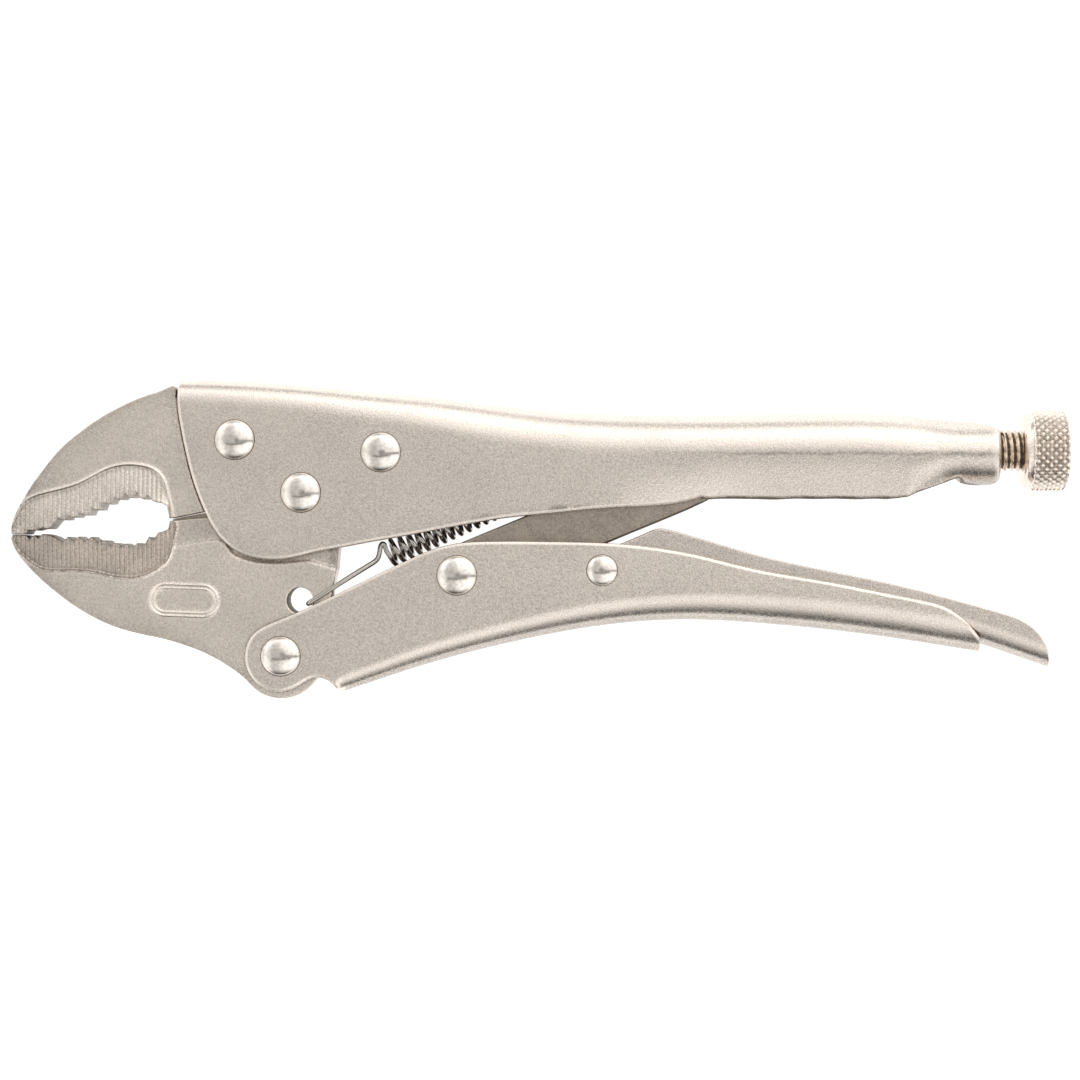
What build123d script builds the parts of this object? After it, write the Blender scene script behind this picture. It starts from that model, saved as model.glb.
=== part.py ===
from build123d import *
import math
import os

os.makedirs("parts", exist_ok=True)

# ---------------------------------------------------------------------------
# Curved-jaw locking pliers, 250 mm long, lying on one side.
# X runs from the jaw tips (-X) to the adjusting knob (+X), Y across the
# handles, Z is the direction of every pivot rivet.  The origin is at the
# middle of the bounding box in X and Y and on the surface that the tool lies
# on.  Profiles are drawn in the tool's mid-plane and lifted by MID.
# ---------------------------------------------------------------------------

# --- driving dimensions (mm) -----------------------------------------------
MID = 10.1              # height of the mid-plane above the resting surface

UP_SHEET = 2.2          # upper handle sheet thickness
UP_IN = 5.5             # half of the gap between the upper handle's walls
UP_OUT = UP_IN + UP_SHEET

LO_SHEET = 2.0          # lower handle sheet thickness
LO_IN = 6.1             # half of the gap between the lower handle's walls
LO_OUT = LO_IN + LO_SHEET

LV_SHEET = 1.6          # release lever sheet thickness
LV_OUT = 5.8            # half width over the release lever
LV_IN = LV_OUT - LV_SHEET

JAW_UP_T = 5.45         # half thickness of the fixed jaw
JAW_LO_T = 5.85         # half thickness of the lower jaw outside the handle
JAW_HUB_T = 5.3         # half thickness of the lower jaw inside the handle
BAND_T = 6.2            # half width of both jaws along the toothed edge

PIV_A = (-56.37, 10.92)     # lower jaw pivot in the upper handle
PIV_B = (-61.06, -27.56)    # lower handle pivot in the lower jaw
PIV_C = (-19.67, -8.56)     # toggle link pivot in the lower handle
PIV_D = (51.41, 21.20)      # centre of the toggle link's nose
PIV_E = (14.44, -7.36)      # release lever pivot
RIV_1 = (-71.92, 23.31)     # fixed jaw rivet, front
RIV_2 = (-37.57, 20.42)     # fixed jaw rivet, rear

SHANK_R = 2.5           # rivet shank radius
SHANK_HOLE = 2.55       # bore round a rivet that turns in it
SMALL_SHANK_R = 1.9
SMALL_HOLE = 1.95
HEAD_R = 4.6            # rivet head radius
HEAD_H = 2.0            # rivet head height
SMALL_HEAD_R = 3.55
SMALL_HEAD_H = 1.55

HUB_R = 10.6            # lower jaw hub
TANG_R = 11.2           # clearance arc in the fixed jaw round that hub
LOBE_R = 10.0           # lower jaw boss round the lower handle pivot
SPRING_HOLE = (-56.64, -14.50)
SPRING_HOLE_R = 3.1

LINK_HALF = 6.7         # half height of the toggle link
LINK_T = 4.9            # half thickness of the toggle link
NOSE_R = 4.2            # rounded nose that bears on the adjusting screw
NOSE_T = 3.6

SCREW_Y = 20.95         # adjusting screw axis
THREAD_MAJOR = 10.0     # M10 x 1.5
THREAD_PITCH = 1.5
THREAD_DEPTH = 0.85
NECK_BORE_R = THREAD_MAJOR / 2 + 0.05
NECK_Y = 20.30
NECK_R = 7.45
NECK_END = 108.7
SCREW_TIP = PIV_D[0] + NOSE_R + 2.7     # tip stands off the nose
KNOB_START = 114.9
KNOB_END = 124.85
KNOB_R = 9.55

SPRING_WIRE = 1.15
SPRING_OD = 6.7
SPRING_PITCH = 2.15
SPRING_TURNS = 23


def at_mid(dz=0.0):
    """Plane parallel to the tool's side faces, dz above the mid-plane."""
    return Plane.XY.offset(MID + dz)


def arc_pts(centre, radius, a0, a1, n):
    """Points on an arc, degrees, from a0 to a1."""
    return [
        (
            centre[0] + radius * math.cos(math.radians(a0 + (a1 - a0) * i / n)),
            centre[1] + radius * math.sin(math.radians(a0 + (a1 - a0) * i / n)),
        )
        for i in range(n + 1)
    ]


def interp(table, x):
    """Straight-line lookup in a list of (x, value)."""
    if x <= table[0][0]:
        return table[0][1]
    for (x0, v0), (x1, v1) in zip(table, table[1:]):
        if x <= x1:
            return v0 + (v1 - v0) * (x - x0) / (x1 - x0)
    return table[-1][1]


def clean(pts, tol=0.05):
    """Drop points that repeat the one before."""
    out = []
    for p in pts:
        if not out or math.dist(out[-1], p) > tol:
            out.append(p)
    if math.dist(out[0], out[-1]) <= tol:
        out.pop()
    return out


# --- profiles in the mid-plane ----------------------------------------------
UPPER_TOP = [
    (-85.98, 37.64), (-80.65, 37.64), (-71.18, 37.22), (-61.70, 36.69), (-52.23, 35.98),
    (-42.76, 34.92), (-33.28, 34.21), (-23.81, 33.38), (-14.34, 32.19), (-4.87, 30.89),
    (4.61, 30.06), (14.08, 29.59), (23.55, 29.38), (37.76, 29.35), (47.23, 29.54),
    (56.71, 29.71), (66.18, 29.83), (75.65, 29.80), (85.13, 29.47), (89.86, 29.00),
    (94.60, 28.20), (98.15, 27.80), (NECK_END, 27.75),
]
UPPER_FRONT = [
    (-85.35, 37.70), (-85.35, 31.25), (-84.53, 25.85), (-83.44, 20.47), (-82.11, 15.06),
    (-80.49, 10.23), (-78.07, 4.82), (-75.36, 0.50), (-72.12, -2.46), (-67.82, -4.34),
    (-62.42, -4.88), (-58.10, -4.45), (-52.72, -3.00), (-47.34, -2.18), (-40.86, -0.84),
    (-30.08, 1.04), (-19.30, 3.09), (-8.52, 4.92), (4.57, 6.26), (11.14, 6.91),
    (17.72, 7.45), (24.30, 7.60), (29.94, 8.02), (34.23, 8.68), (37.60, 9.60),
    (43.32, 9.55), (51.82, 9.45), (61.27, 9.58), (70.71, 9.55), (80.16, 9.55),
    (84.88, 9.67), (87.72, 10.14), (90.08, 11.20), (93.71, 12.40), (97.02, 12.85),
    (NECK_END, 12.80),
]
LOWER_TOP = [
    (-64.08, -20.09), (-60.95, -18.82), (-57.83, -17.60), (-53.84, -15.84), (-48.14, -13.11),
    (-42.46, -10.41), (-37.69, -8.00), (-30.06, -4.48), (-24.66, -2.17), (-21.21, -1.33),
    (-17.43, -0.72), (-9.36, -0.53), (1.42, -0.63), (12.22, -0.84), (20.29, -1.24),
    (28.37, -2.29), (36.49, -3.65), (43.06, -5.41), (49.68, -7.01), (56.28, -8.28),
    (62.88, -9.24), (69.45, -10.44), (76.05, -11.75), (82.62, -13.07), (89.22, -14.41),
    (92.50, -15.25), (95.79, -16.38), (99.10, -18.68), (101.73, -21.31), (103.37, -23.28),
    (103.70, -24.60),
]
LOWER_SPINE = [
    (-47.30, -36.20), (-42.70, -34.78), (-37.97, -33.10), (-33.24, -31.47), (-23.78, -28.63),
    (-14.32, -26.15), (-4.86, -23.90), (4.60, -21.95), (14.06, -20.45), (23.52, -19.45),
    (32.98, -19.05), (42.44, -19.25), (51.90, -19.95), (61.36, -20.75), (70.81, -21.70),
    (80.27, -22.95), (89.73, -24.37), (99.19, -25.91), (103.70, -26.60),
]
LEVER_TOP = [
    (19.93, -0.96), (23.09, 0.55), (26.06, 1.92), (27.2, 2.35), (28.30, 2.52), (30.70, 2.10),
    (36.61, 0.46), (43.20, -1.50), (49.84, -3.45), (56.46, -5.08), (63.08, -6.51),
    (69.67, -7.83), (76.29, -9.15), (82.88, -10.56), (89.50, -12.12), (96.09, -13.91),
    (102.71, -15.72), (109.33, -17.54), (114.60, -19.54), (117.24, -21.70), (119.24, -24.67),
    (120.20, -28.20), (120.25, -30.40),
]
LEVER_SPINE = [
    (9.0, -12.4), (20.0, -13.3), (30.0, -14.2), (40.0, -15.0), (60.0, -17.0), (80.0, -19.8),
    (95.0, -22.2), (100.0, -23.2), (103.9, -24.1), (104.6, -25.15), (109.94, -26.85),
    (116.58, -29.10), (120.25, -30.35),
]
FIXED_OUTER = [
    (-86.0, 36.2), (-89.67, 34.90), (-94.38, 33.33), (-99.10, 31.21), (-103.81, 28.62),
    (-108.52, 25.32), (-113.23, 21.31), (-117.95, 15.54), (-120.30, 12.47), (-122.66, 8.47),
    (-124.07, 5.41), (-124.85, 2.81), (-124.85, 1.45),
]
FIXED_TEETH = [
    (-124.40, 1.28), (-121.07, 1.42), (-120.79, 2.17), (-119.00, 1.96), (-117.21, 2.60),
    (-115.78, 2.31), (-114.65, 3.61), (-113.64, 4.88), (-112.65, 4.41), (-111.66, 4.46),
    (-111.31, 5.33), (-110.37, 5.02), (-109.24, 5.02), (-108.51, 6.17), (-107.52, 5.54),
    (-106.37, 5.61), (-105.66, 7.16), (-104.67, 6.74), (-103.66, 6.81), (-103.09, 8.39),
    (-102.11, 8.13), (-101.09, 8.27), (-100.53, 9.66), (-99.40, 9.21), (-98.53, 9.30),
    (-97.82, 10.67), (-96.84, 9.68), (-95.97, 9.73), (-95.12, 10.74), (-94.41, 9.73),
    (-93.40, 9.30), (-92.41, 10.17), (-91.54, 9.02), (-90.41, 8.60), (-89.26, 8.41),
    (-88.01, 7.75), (-87.42, 4.80), (-85.17, 5.25), (-80.60, 6.20), (-78.90, 6.50),
]
LOWER_TEETH = [
    (-124.40, 1.00), (-122.48, 0.93), (-121.07, 0.76), (-120.37, 0.03), (-119.21, 0.90),
    (-118.34, 0.17), (-117.35, 1.15), (-115.78, 0.90), (-114.65, 0.48), (-113.49, -0.25),
    (-112.51, -0.60), (-111.35, 0.48), (-110.08, -0.53), (-108.79, 0.55), (-107.38, -0.58),
    (-105.80, 0.48), (-104.39, -0.81), (-103.52, -0.32), (-102.39, -0.39), (-101.38, -1.52),
    (-100.39, -0.96), (-99.24, -1.24), (-98.67, -1.94), (-97.82, -1.10), (-96.84, -1.78),
    (-95.82, -1.76), (-94.98, -0.96), (-94.11, -1.52), (-93.12, -1.10), (-92.27, 0.48),
    (-90.98, -0.11), (-90.13, 1.47), (-88.98, 1.75), (-87.71, 2.31), (-87.25, 4.25),
    (-83.45, 4.63), (-78.31, 5.05), (-66.60, 6.05),
]
LOWER_OUTER = [
    (-69.64, -32.77), (-72.71, -30.53), (-75.53, -28.76), (-79.07, -26.88), (-82.60, -25.46),
    (-86.14, -24.28), (-89.67, -23.34), (-94.38, -22.35), (-99.10, -21.10), (-103.81, -19.22),
    (-108.52, -16.63), (-113.23, -13.33), (-117.95, -9.32), (-120.30, -6.97), (-122.66, -4.26),
    (-124.07, -2.25), (-124.85, 0.10),
]
BAND_UPPER = [
    (-124.10, 5.17), (-123.28, 7.05), (-122.01, 8.58), (-120.15, 9.83), (-117.86, 10.68),
    (-115.01, 11.38), (-112.45, 12.02), (-109.60, 12.79), (-107.31, 13.88), (-105.03, 15.17),
    (-102.75, 16.44), (-100.18, 17.32), (-97.33, 17.60), (-94.46, 17.46), (-91.89, 16.87),
    (-90.20, 15.88), (-88.90, 14.30), (-88.19, 12.16), (-87.77, 10.18), (-87.04, 8.46),
    (-87.18, 7.03), (-87.90, 7.40),
]
BAND_LOWER = [
    (-123.28, -2.84), (-120.71, -5.08), (-118.14, -6.84), (-116.73, -7.34), (-113.01, -7.46),
    (-109.60, -7.38), (-106.75, -7.67), (-103.88, -8.09), (-101.03, -8.80), (-98.18, -9.17),
    (-95.33, -9.17), (-93.04, -8.51), (-90.48, -7.24), (-88.48, -5.81), (-87.35, -4.09),
    (-86.90, -2.39), (-86.62, -0.67), (-86.19, 1.33), (-87.50, 3.00),
]
# edge of the lower jaw's thinner part, which works between the upper handle's walls
STEP_LINE = [
    (-86.31, -1.55), (-82.54, -0.96), (-78.30, -0.37), (-74.60, -0.55), (-72.60, -3.35),
    (-68.05, -5.10), (-62.42, -5.65), (-58.00, -5.35), (-54.60, -5.15), (-51.93, -5.85),
    (-46.00, -7.60),
]


# --- upper handle: pressed channel, swaged to a round neck ------------------
def rounded_section(x, half, y_bot, y_top, r_top, r_bot):
    """Rounded rectangle in the plane across the tool at x (local x = Y, local y = Z)."""
    rt = min(r_top, half - 0.12, (y_top - y_bot) / 2 - 0.12)
    rb = min(r_bot, half - 0.12, (y_top - y_bot) / 2 - 0.12)
    with BuildSketch(Plane.YZ.offset(x)) as sk:
        with BuildLine():
            Polyline(
                (y_bot + rb, MID - half), (y_top - rt, MID - half)
            )
            RadiusArc((y_top - rt, MID - half), (y_top, MID - half + rt), -rt)
            Line((y_top, MID - half + rt), (y_top, MID + half - rt))
            RadiusArc((y_top, MID + half - rt), (y_top - rt, MID + half), -rt)
            Line((y_top - rt, MID + half), (y_bot + rb, MID + half))
            RadiusArc((y_bot + rb, MID + half), (y_bot, MID + half - rb), -rb)
            Line((y_bot, MID + half - rb), (y_bot, MID - half + rb))
            RadiusArc((y_bot, MID - half + rb), (y_bot + rb, MID - half), -rb)
        make_face()
    return sk.sketch


upper_stations = [-88.0, -71.18, -52.23, -33.28, -14.34, 4.61, 23.55, 40.0, 56.71, 75.65, 86.0]
neck_stations = [(90.0, 0.34), (94.0, 0.72), (98.0, 1.0), (NECK_END, 1.0)]
bend_out = [(-85.0, 4.5), (-10.0, 4.8), (43.0, 7.3), (90.0, 7.3)]
bend_in = [(-85.0, 2.3), (-10.0, 2.6), (43.0, 4.2), (90.0, 4.2)]

outer_sections = [
    rounded_section(x, UP_OUT, -9.0, interp(UPPER_TOP, x), interp(bend_out, x), 0.4)
    for x in upper_stations
]
for x, t in neck_stations:
    half = UP_OUT + (NECK_R - UP_OUT) * t
    bot = interp(UPPER_FRONT, x) * (1 - t) + (NECK_Y - NECK_R) * t - 6.0 * (1 - t)
    outer_sections.append(
        rounded_section(x, half, bot, interp(UPPER_TOP, x), 7.3 + 0.2 * t, 0.4 + 7.1 * t)
    )
inner_sections = [
    rounded_section(x, UP_IN, -14.0, interp(UPPER_TOP, x) - UP_SHEET, interp(bend_in, x), 0.4)
    for x in [-92.0] + upper_stations[1:]
]
for x, t in [(90.0, 0.30), (94.0, 0.85), (95.5, 1.0)]:
    half = UP_IN + (NECK_BORE_R - UP_IN) * t
    top = (interp(UPPER_TOP, x) - UP_SHEET) * (1 - t) + (SCREW_Y + NECK_BORE_R) * t
    bot = 2.0 * (1 - t) + (SCREW_Y - NECK_BORE_R) * t
    inner_sections.append(rounded_section(x, half, bot, top, 4.2 + 0.85 * t, 0.4 + 4.65 * t))

upper_outline = clean(UPPER_TOP[1:] + UPPER_FRONT[::-1])

with BuildPart() as upper_outer:
    add(outer_sections)
    loft(ruled=True)
with BuildPart() as upper_inner:
    add(inner_sections)
    loft(ruled=True)

with BuildPart() as upper_handle:
    add(upper_outer.part)
    with BuildSketch(at_mid(-12)):
        with BuildLine():
            Polyline(*upper_outline, close=True)
        make_face()
    extrude(amount=24, mode=Mode.INTERSECT)
    add(upper_inner.part, mode=Mode.SUBTRACT)
    # round bore through the swaged neck for the screw
    with BuildSketch(Plane.YZ.offset(95.0)):
        with Locations((SCREW_Y, MID)):
            Circle(NECK_BORE_R)
    extrude(amount=20, mode=Mode.SUBTRACT)
    # seam where the sheet meets under the neck
    with BuildSketch(at_mid(-0.25)):
        with BuildLine():
            Polyline((92.0, 8.0), (NECK_END + 1, 8.0), (NECK_END + 1, 17.0), (92.0, 17.0), close=True)
        make_face()
    extrude(amount=0.5, mode=Mode.SUBTRACT)
    # tab pressed inwards from the spine, which holds the spring's rear loop
    with BuildSketch(at_mid(-0.9)):
        with BuildLine():
            Polyline(
                (19.6, 27.6), (19.9, 19.4), (21.2, 18.6), (24.2, 18.6), (24.6, 20.0),
                (23.2, 20.6), (23.6, 27.6), close=True,
            )
        make_face()
    extrude(amount=1.8)
    # rivet holes through both walls
    with BuildSketch(at_mid(-12)):
        with Locations(RIV_1, RIV_2, PIV_A):
            Circle(SHANK_R)
    extrude(amount=24, mode=Mode.SUBTRACT)
upper_handle.part.label = "upper_handle"
export_step(upper_handle.part, "parts/upper_handle.step")

# --- fixed jaw ---------------------------------------------------------------
tang = arc_pts(PIV_A, TANG_R, 203, 10, 20) + [
    (-41.0, 12.4), (-33.5, 12.9), (-30.2, 16.0), (-28.9, 20.8), (-29.6, 25.5),
    (-32.0, 29.6), (-42.76, 30.6), (-52.23, 31.6), (-61.70, 32.4), (-71.18, 32.9), (-84.8, 33.2),
]
fixed_profile = clean(tang + [(-86.0, 33.3)] + FIXED_OUTER + FIXED_TEETH)
with BuildPart() as fixed_jaw:
    with BuildSketch(at_mid(-JAW_UP_T)):
        with BuildLine():
            Polyline(*fixed_profile, close=True)
        make_face()
    extrude(amount=2 * JAW_UP_T)
    # raised band along the teeth
    with BuildSketch(at_mid(-BAND_T)):
        with BuildLine():
            Polyline(*clean(BAND_UPPER + FIXED_TEETH[:35][::-1]), close=True)
        make_face()
    extrude(amount=2 * BAND_T)
    with BuildSketch(at_mid(-12)):
        with Locations(RIV_1, RIV_2):
            Circle(SHANK_R)
    extrude(amount=24, mode=Mode.SUBTRACT)
fixed_jaw.part.label = "fixed_jaw"
export_step(fixed_jaw.part, "parts/fixed_jaw.step")

# --- lower jaw ---------------------------------------------------------------
lower_profile = clean(
    LOWER_TEETH
    + arc_pts(PIV_A, HUB_R, 206, -3, 24)
    + [(-47.54, -1.43), (-47.59, -2.46), (-48.01, -6.52), (-48.84, -11.11), (-50.30, -19.50)]
    + arc_pts(PIV_B, LOBE_R, 8, -143, 18)
    + LOWER_OUTER
)
lower_thick = clean(
    [(-124.40, 1.00)] + [(-130.0, 1.0), (-130.0, -45.0), (-40.0, -45.0), (-40.0, -9.3)]
    + STEP_LINE[::-1] + LOWER_TEETH[:35][::-1]
)
with BuildPart() as lower_jaw:
    with BuildSketch(at_mid(-JAW_LO_T)):
        with BuildLine():
            Polyline(*lower_profile, close=True)
        make_face()
    extrude(amount=2 * JAW_LO_T)
    # the part between the upper handle's walls is thinner, on both faces
    for z0 in (JAW_HUB_T, -JAW_HUB_T - 5):
        with BuildSketch(at_mid(z0)):
            with BuildLine():
                Polyline(
                    *clean(STEP_LINE + [(-36.0, -7.6), (-36.0, 30.0), (-90.0, 30.0), (-86.1, 4.0)]),
                    close=True,
                )
            make_face()
        extrude(amount=5, mode=Mode.SUBTRACT)
    # raised band along the teeth
    with BuildSketch(at_mid(-BAND_T)):
        with BuildLine():
            Polyline(*clean(BAND_LOWER + LOWER_TEETH[:34][::-1] + [(-124.1, -0.6)]), close=True)
        make_face()
    extrude(amount=2 * BAND_T)
    # pivot bores and the spring's hole
    with BuildSketch(at_mid(-12)):
        with Locations(PIV_A, PIV_B):
            Circle(SHANK_HOLE)
        with Locations(SPRING_HOLE):
            Circle(SPRING_HOLE_R)
    extrude(amount=24, mode=Mode.SUBTRACT)
    # small stadium-shaped cartouche on the near face, left blank
    with BuildSketch(at_mid(JAW_LO_T)):
        with Locations((-83.96, -14.50)):
            SlotOverall(16.5, 7.8, rotation=-2)
            SlotOverall(15.3, 6.6, rotation=-2, mode=Mode.SUBTRACT)
    extrude(amount=0.25)
lower_jaw.part.label = "lower_jaw"
export_step(lower_jaw.part, "parts/lower_jaw.step")

# --- lower handle: pressed channel, open towards the upper handle ------------
lower_stations = [
    -47.3, -37.97, -23.78, -4.86, 14.06, 32.98, 51.90, 70.81, 89.73, 99.19, 104.0,
]
with BuildPart() as lower_outer_block:
    add([
        rounded_section(x, LO_OUT, interp(LOWER_SPINE, x), 8.0, 0.4, 4.0)
        for x in lower_stations
    ])
    loft(ruled=True)
with BuildPart() as lower_inner_block:
    add([
        rounded_section(x, LO_IN, interp(LOWER_SPINE, x) + LO_SHEET, 12.0, 0.4, 2.0)
        for x in [-60.0] + lower_stations[1:-1] + [106.0]
    ])
    loft(ruled=True)

lower_outline = clean(
    arc_pts(PIV_B, 8.45, 236, 118, 10)
    + LOWER_TOP
    + LOWER_SPINE[::-1]
    + [(-48.14, -34.90), (-49.57, -33.61), (-51.00, -32.76), (-53.00, -32.55), (-54.40, -32.95),
       (-56.68, -34.34), (-58.96, -35.32), (-61.24, -35.85)]
)
with BuildPart() as lower_handle:
    add(lower_outer_block.part)
    # flat ears in front of the spine
    with BuildSketch(Plane.YZ.offset(-47.3)):
        with Locations((-20.0, MID)):
            Rectangle(60.0, 2 * LO_OUT)
    extrude(amount=-30)
    with BuildSketch(at_mid(-12)):
        with BuildLine():
            Polyline(*lower_outline, close=True)
        make_face()
    extrude(amount=24, mode=Mode.INTERSECT)
    add(lower_inner_block.part, mode=Mode.SUBTRACT)
    with BuildSketch(Plane.YZ.offset(-47.6)):
        with Locations((-20.0, MID)):
            Rectangle(80.0, 2 * LO_IN)
    extrude(amount=-40, mode=Mode.SUBTRACT)
    with BuildSketch(at_mid(-12)):
        with Locations(PIV_B, PIV_C):
            Circle(SHANK_R)
        with Locations(PIV_E):
            Circle(SMALL_SHANK_R)
    extrude(amount=24, mode=Mode.SUBTRACT)
lower_handle.part.label = "lower_handle"
export_step(lower_handle.part, "parts/lower_handle.step")

# --- release lever: smaller channel nested in the lower handle ---------------
lever_outline = clean(
    arc_pts(PIV_E, 4.1, 250, 113, 8) + LEVER_TOP + LEVER_SPINE[::-1]
)
with BuildPart() as lever_outer_block:
    add([
        rounded_section(x, LV_OUT, interp(LEVER_SPINE, x), 8.0, 0.4, 3.2)
        for x in [5.0, 20.0, 40.0, 60.0, 80.0, 95.0, 103.9, 104.6, 116.58, 122.0]
    ])
    loft(ruled=True)
with BuildPart() as lever_inner_block:
    add([
        rounded_section(x, LV_IN, interp(LEVER_SPINE, x) + LV_SHEET, 12.0, 0.4, 1.7)
        for x in [4.0, 20.0, 40.0, 60.0, 80.0, 95.0, 103.9, 104.6, 116.58, 123.0]
    ])
    loft(ruled=True)
with BuildPart() as release_lever:
    add(lever_outer_block.part)
    with BuildSketch(at_mid(-12)):
        with BuildLine():
            Polyline(*lever_outline, close=True)
        make_face()
    extrude(amount=24, mode=Mode.INTERSECT)
    add(lever_inner_block.part, mode=Mode.SUBTRACT)
    # the spine starts behind the pivot
    with BuildSketch(Plane.YZ.offset(21.0)):
        with Locations((-5.0, MID)):
            Rectangle(40.0, 2 * LV_IN)
    extrude(amount=-20, mode=Mode.SUBTRACT)
    with BuildSketch(at_mid(-12)):
        with Locations(PIV_E):
            Circle(SMALL_HOLE)
    extrude(amount=24, mode=Mode.SUBTRACT)
release_lever.part.label = "release_lever"
export_step(release_lever.part, "parts/release_lever.step")

# --- toggle link -------------------------------------------------------------
link_angle = math.atan2(PIV_D[1] - PIV_C[1], PIV_D[0] - PIV_C[0])
link_len = math.dist(PIV_C, PIV_D)


def on_link(s, t):
    """Point s along the link from its pivot and t across it."""
    c, n = math.cos(link_angle), math.sin(link_angle)
    return (PIV_C[0] + s * c - t * n, PIV_C[1] + s * n + t * c)


link_body = clean(
    [on_link(p[0], p[1]) for p in arc_pts((0, 0), LINK_HALF, 270, 90, 16)]
    + [on_link(59.0, LINK_HALF), on_link(66.0, 5.6), on_link(66.0, -5.6), on_link(59.0, -LINK_HALF)]
)
link_nose = clean(
    [on_link(57.0, 5.2), on_link(68.0, 4.8)]
    + [on_link(link_len + p[0], p[1]) for p in arc_pts((0, 0), NOSE_R, 85, -85, 16)]
    + [on_link(68.0, -4.8), on_link(57.0, -5.2)]
)
with BuildPart() as toggle_link:
    with BuildSketch(at_mid(-LINK_T)):
        with BuildLine():
            Polyline(*link_body, close=True)
        make_face()
    extrude(amount=2 * LINK_T)
    with BuildSketch(at_mid(-NOSE_T)):
        with BuildLine():
            Polyline(*link_nose, close=True)
        make_face()
    extrude(amount=2 * NOSE_T)
    with BuildSketch(at_mid(-12)):
        with Locations(PIV_C):
            Circle(SHANK_HOLE)
    extrude(amount=24, mode=Mode.SUBTRACT)
toggle_link.part.label = "toggle_link"
export_step(toggle_link.part, "parts/toggle_link.step")

# --- adjusting screw ---------------------------------------------------------
r_major = THREAD_MAJOR / 2
r_root = r_major - THREAD_DEPTH
thread_start = SCREW_TIP + 1.2
thread_end = KNOB_START - 2.4
turns = int((thread_end - thread_start) / THREAD_PITCH)
thread_profile = [(SCREW_TIP, SCREW_Y), (SCREW_TIP, SCREW_Y + r_root - 0.2), (thread_start, SCREW_Y + r_root)]
for i in range(turns):
    x = thread_start + i * THREAD_PITCH
    thread_profile += [
        (x + 0.12, SCREW_Y + r_root), (x + 0.62, SCREW_Y + r_major),
        (x + 0.88, SCREW_Y + r_major), (x + 1.38, SCREW_Y + r_root),
    ]
thread_profile += [
    (thread_end, SCREW_Y + r_root), (KNOB_START - 0.2, SCREW_Y + r_root),
    (KNOB_START - 0.2, SCREW_Y),
]
with BuildPart() as screw_shank:
    with BuildSketch(at_mid(0)):
        with BuildLine():
            Polyline(*thread_profile, close=True)
        make_face()
    revolve(axis=Axis((0, SCREW_Y, MID), (1, 0, 0)))
screw_shank.part.label = "screw_shank"
export_step(screw_shank.part, "parts/screw_shank.step")

with BuildPart() as screw_knob:
    with BuildSketch(at_mid(0)):
        with BuildLine():
            Polyline(
                (KNOB_START, SCREW_Y), (KNOB_START, SCREW_Y + 8.2), (KNOB_START + 0.5, SCREW_Y + 9.0),
                (KNOB_START + 1.3, SCREW_Y + 9.3), (KNOB_START + 2.3, SCREW_Y + 9.3),
                (KNOB_START + 2.7, SCREW_Y + KNOB_R), (KNOB_END - 1.6, SCREW_Y + KNOB_R),
                (KNOB_END - 0.5, SCREW_Y + 9.0), (KNOB_END, SCREW_Y + 8.0), (KNOB_END, SCREW_Y),
                close=True,
            )
        make_face()
    revolve(axis=Axis((0, SCREW_Y, MID), (1, 0, 0)))
screw_knob.part.label = "screw_knob"
export_step(screw_knob.part, "parts/screw_knob.step")

# --- return spring -----------------------------------------------------------
spring_a = Vector(-36.0, -3.57, MID)            # first coil
spring_dir = Vector(math.cos(math.radians(24.3)), math.sin(math.radians(24.3)), 0)
spring_r = (SPRING_OD - SPRING_WIRE) / 2
spring_len = SPRING_TURNS * SPRING_PITCH
coil_helix = Helix(
    pitch=SPRING_PITCH, height=spring_len, radius=spring_r,
    center=spring_a, direction=spring_dir, mode=Mode.PRIVATE,
).rotate(Axis(spring_a, spring_dir), 90)
if (coil_helix @ 0).Z < MID:
    coil_helix = coil_helix.rotate(Axis(spring_a, spring_dir), 180)
coil_start = coil_helix @ 0
coil_end = coil_helix @ 1
start_dir = (coil_helix % 0) * -1
end_dir = coil_helix % 1
# front wire runs over the near face of the lower jaw and hooks into its hole
hook_path = [
    coil_start + start_dir * 0.03,
    coil_start + start_dir * 1.5,
    Vector(-39.4, -4.6, MID + 3.9),
    Vector(-46.2, -9.95, MID + 6.6),
    Vector(-54.45, -15.05, MID + 6.6),
    Vector(-54.75, -15.25, MID - 4.0),
]
# rear wire loops round the tab inside the upper handle
rear_path = [
    coil_end + end_dir * 0.03,
    coil_end + end_dir * 1.5,
    Vector(14.0, 19.2, MID + 1.65),
    Vector(24.4, 21.8, MID + 1.65),
    Vector(24.4, 21.8, MID - 1.65),
    Vector(20.4, 21.7, MID - 1.65),
]
with BuildPart() as spring_coil:
    with BuildLine() as coil_path:
        add(coil_helix)
    with BuildSketch(Plane(origin=coil_start, z_dir=coil_helix % 0)):
        Circle(SPRING_WIRE / 2)
    sweep(path=coil_path.line, is_frenet=True)
with BuildPart() as spring_front:
    with BuildLine() as front_wire:
        FilletPolyline(*hook_path, radius=0.65)
    with BuildSketch(Plane(origin=front_wire.line @ 0, z_dir=front_wire.line % 0)):
        Circle(SPRING_WIRE / 2)
    sweep(path=front_wire.line)
with BuildPart() as spring_rear:
    with BuildLine() as rear_wire:
        FilletPolyline(*rear_path, radius=0.65)
    with BuildSketch(Plane(origin=rear_wire.line @ 0, z_dir=rear_wire.line % 0)):
        Circle(SPRING_WIRE / 2)
    sweep(path=rear_wire.line)
return_spring = Compound(
    children=[spring_coil.part.solid(), spring_front.part.solid(), spring_rear.part.solid()]
)
return_spring.label = "return_spring"
export_step(return_spring, "parts/return_spring.step")


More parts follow.
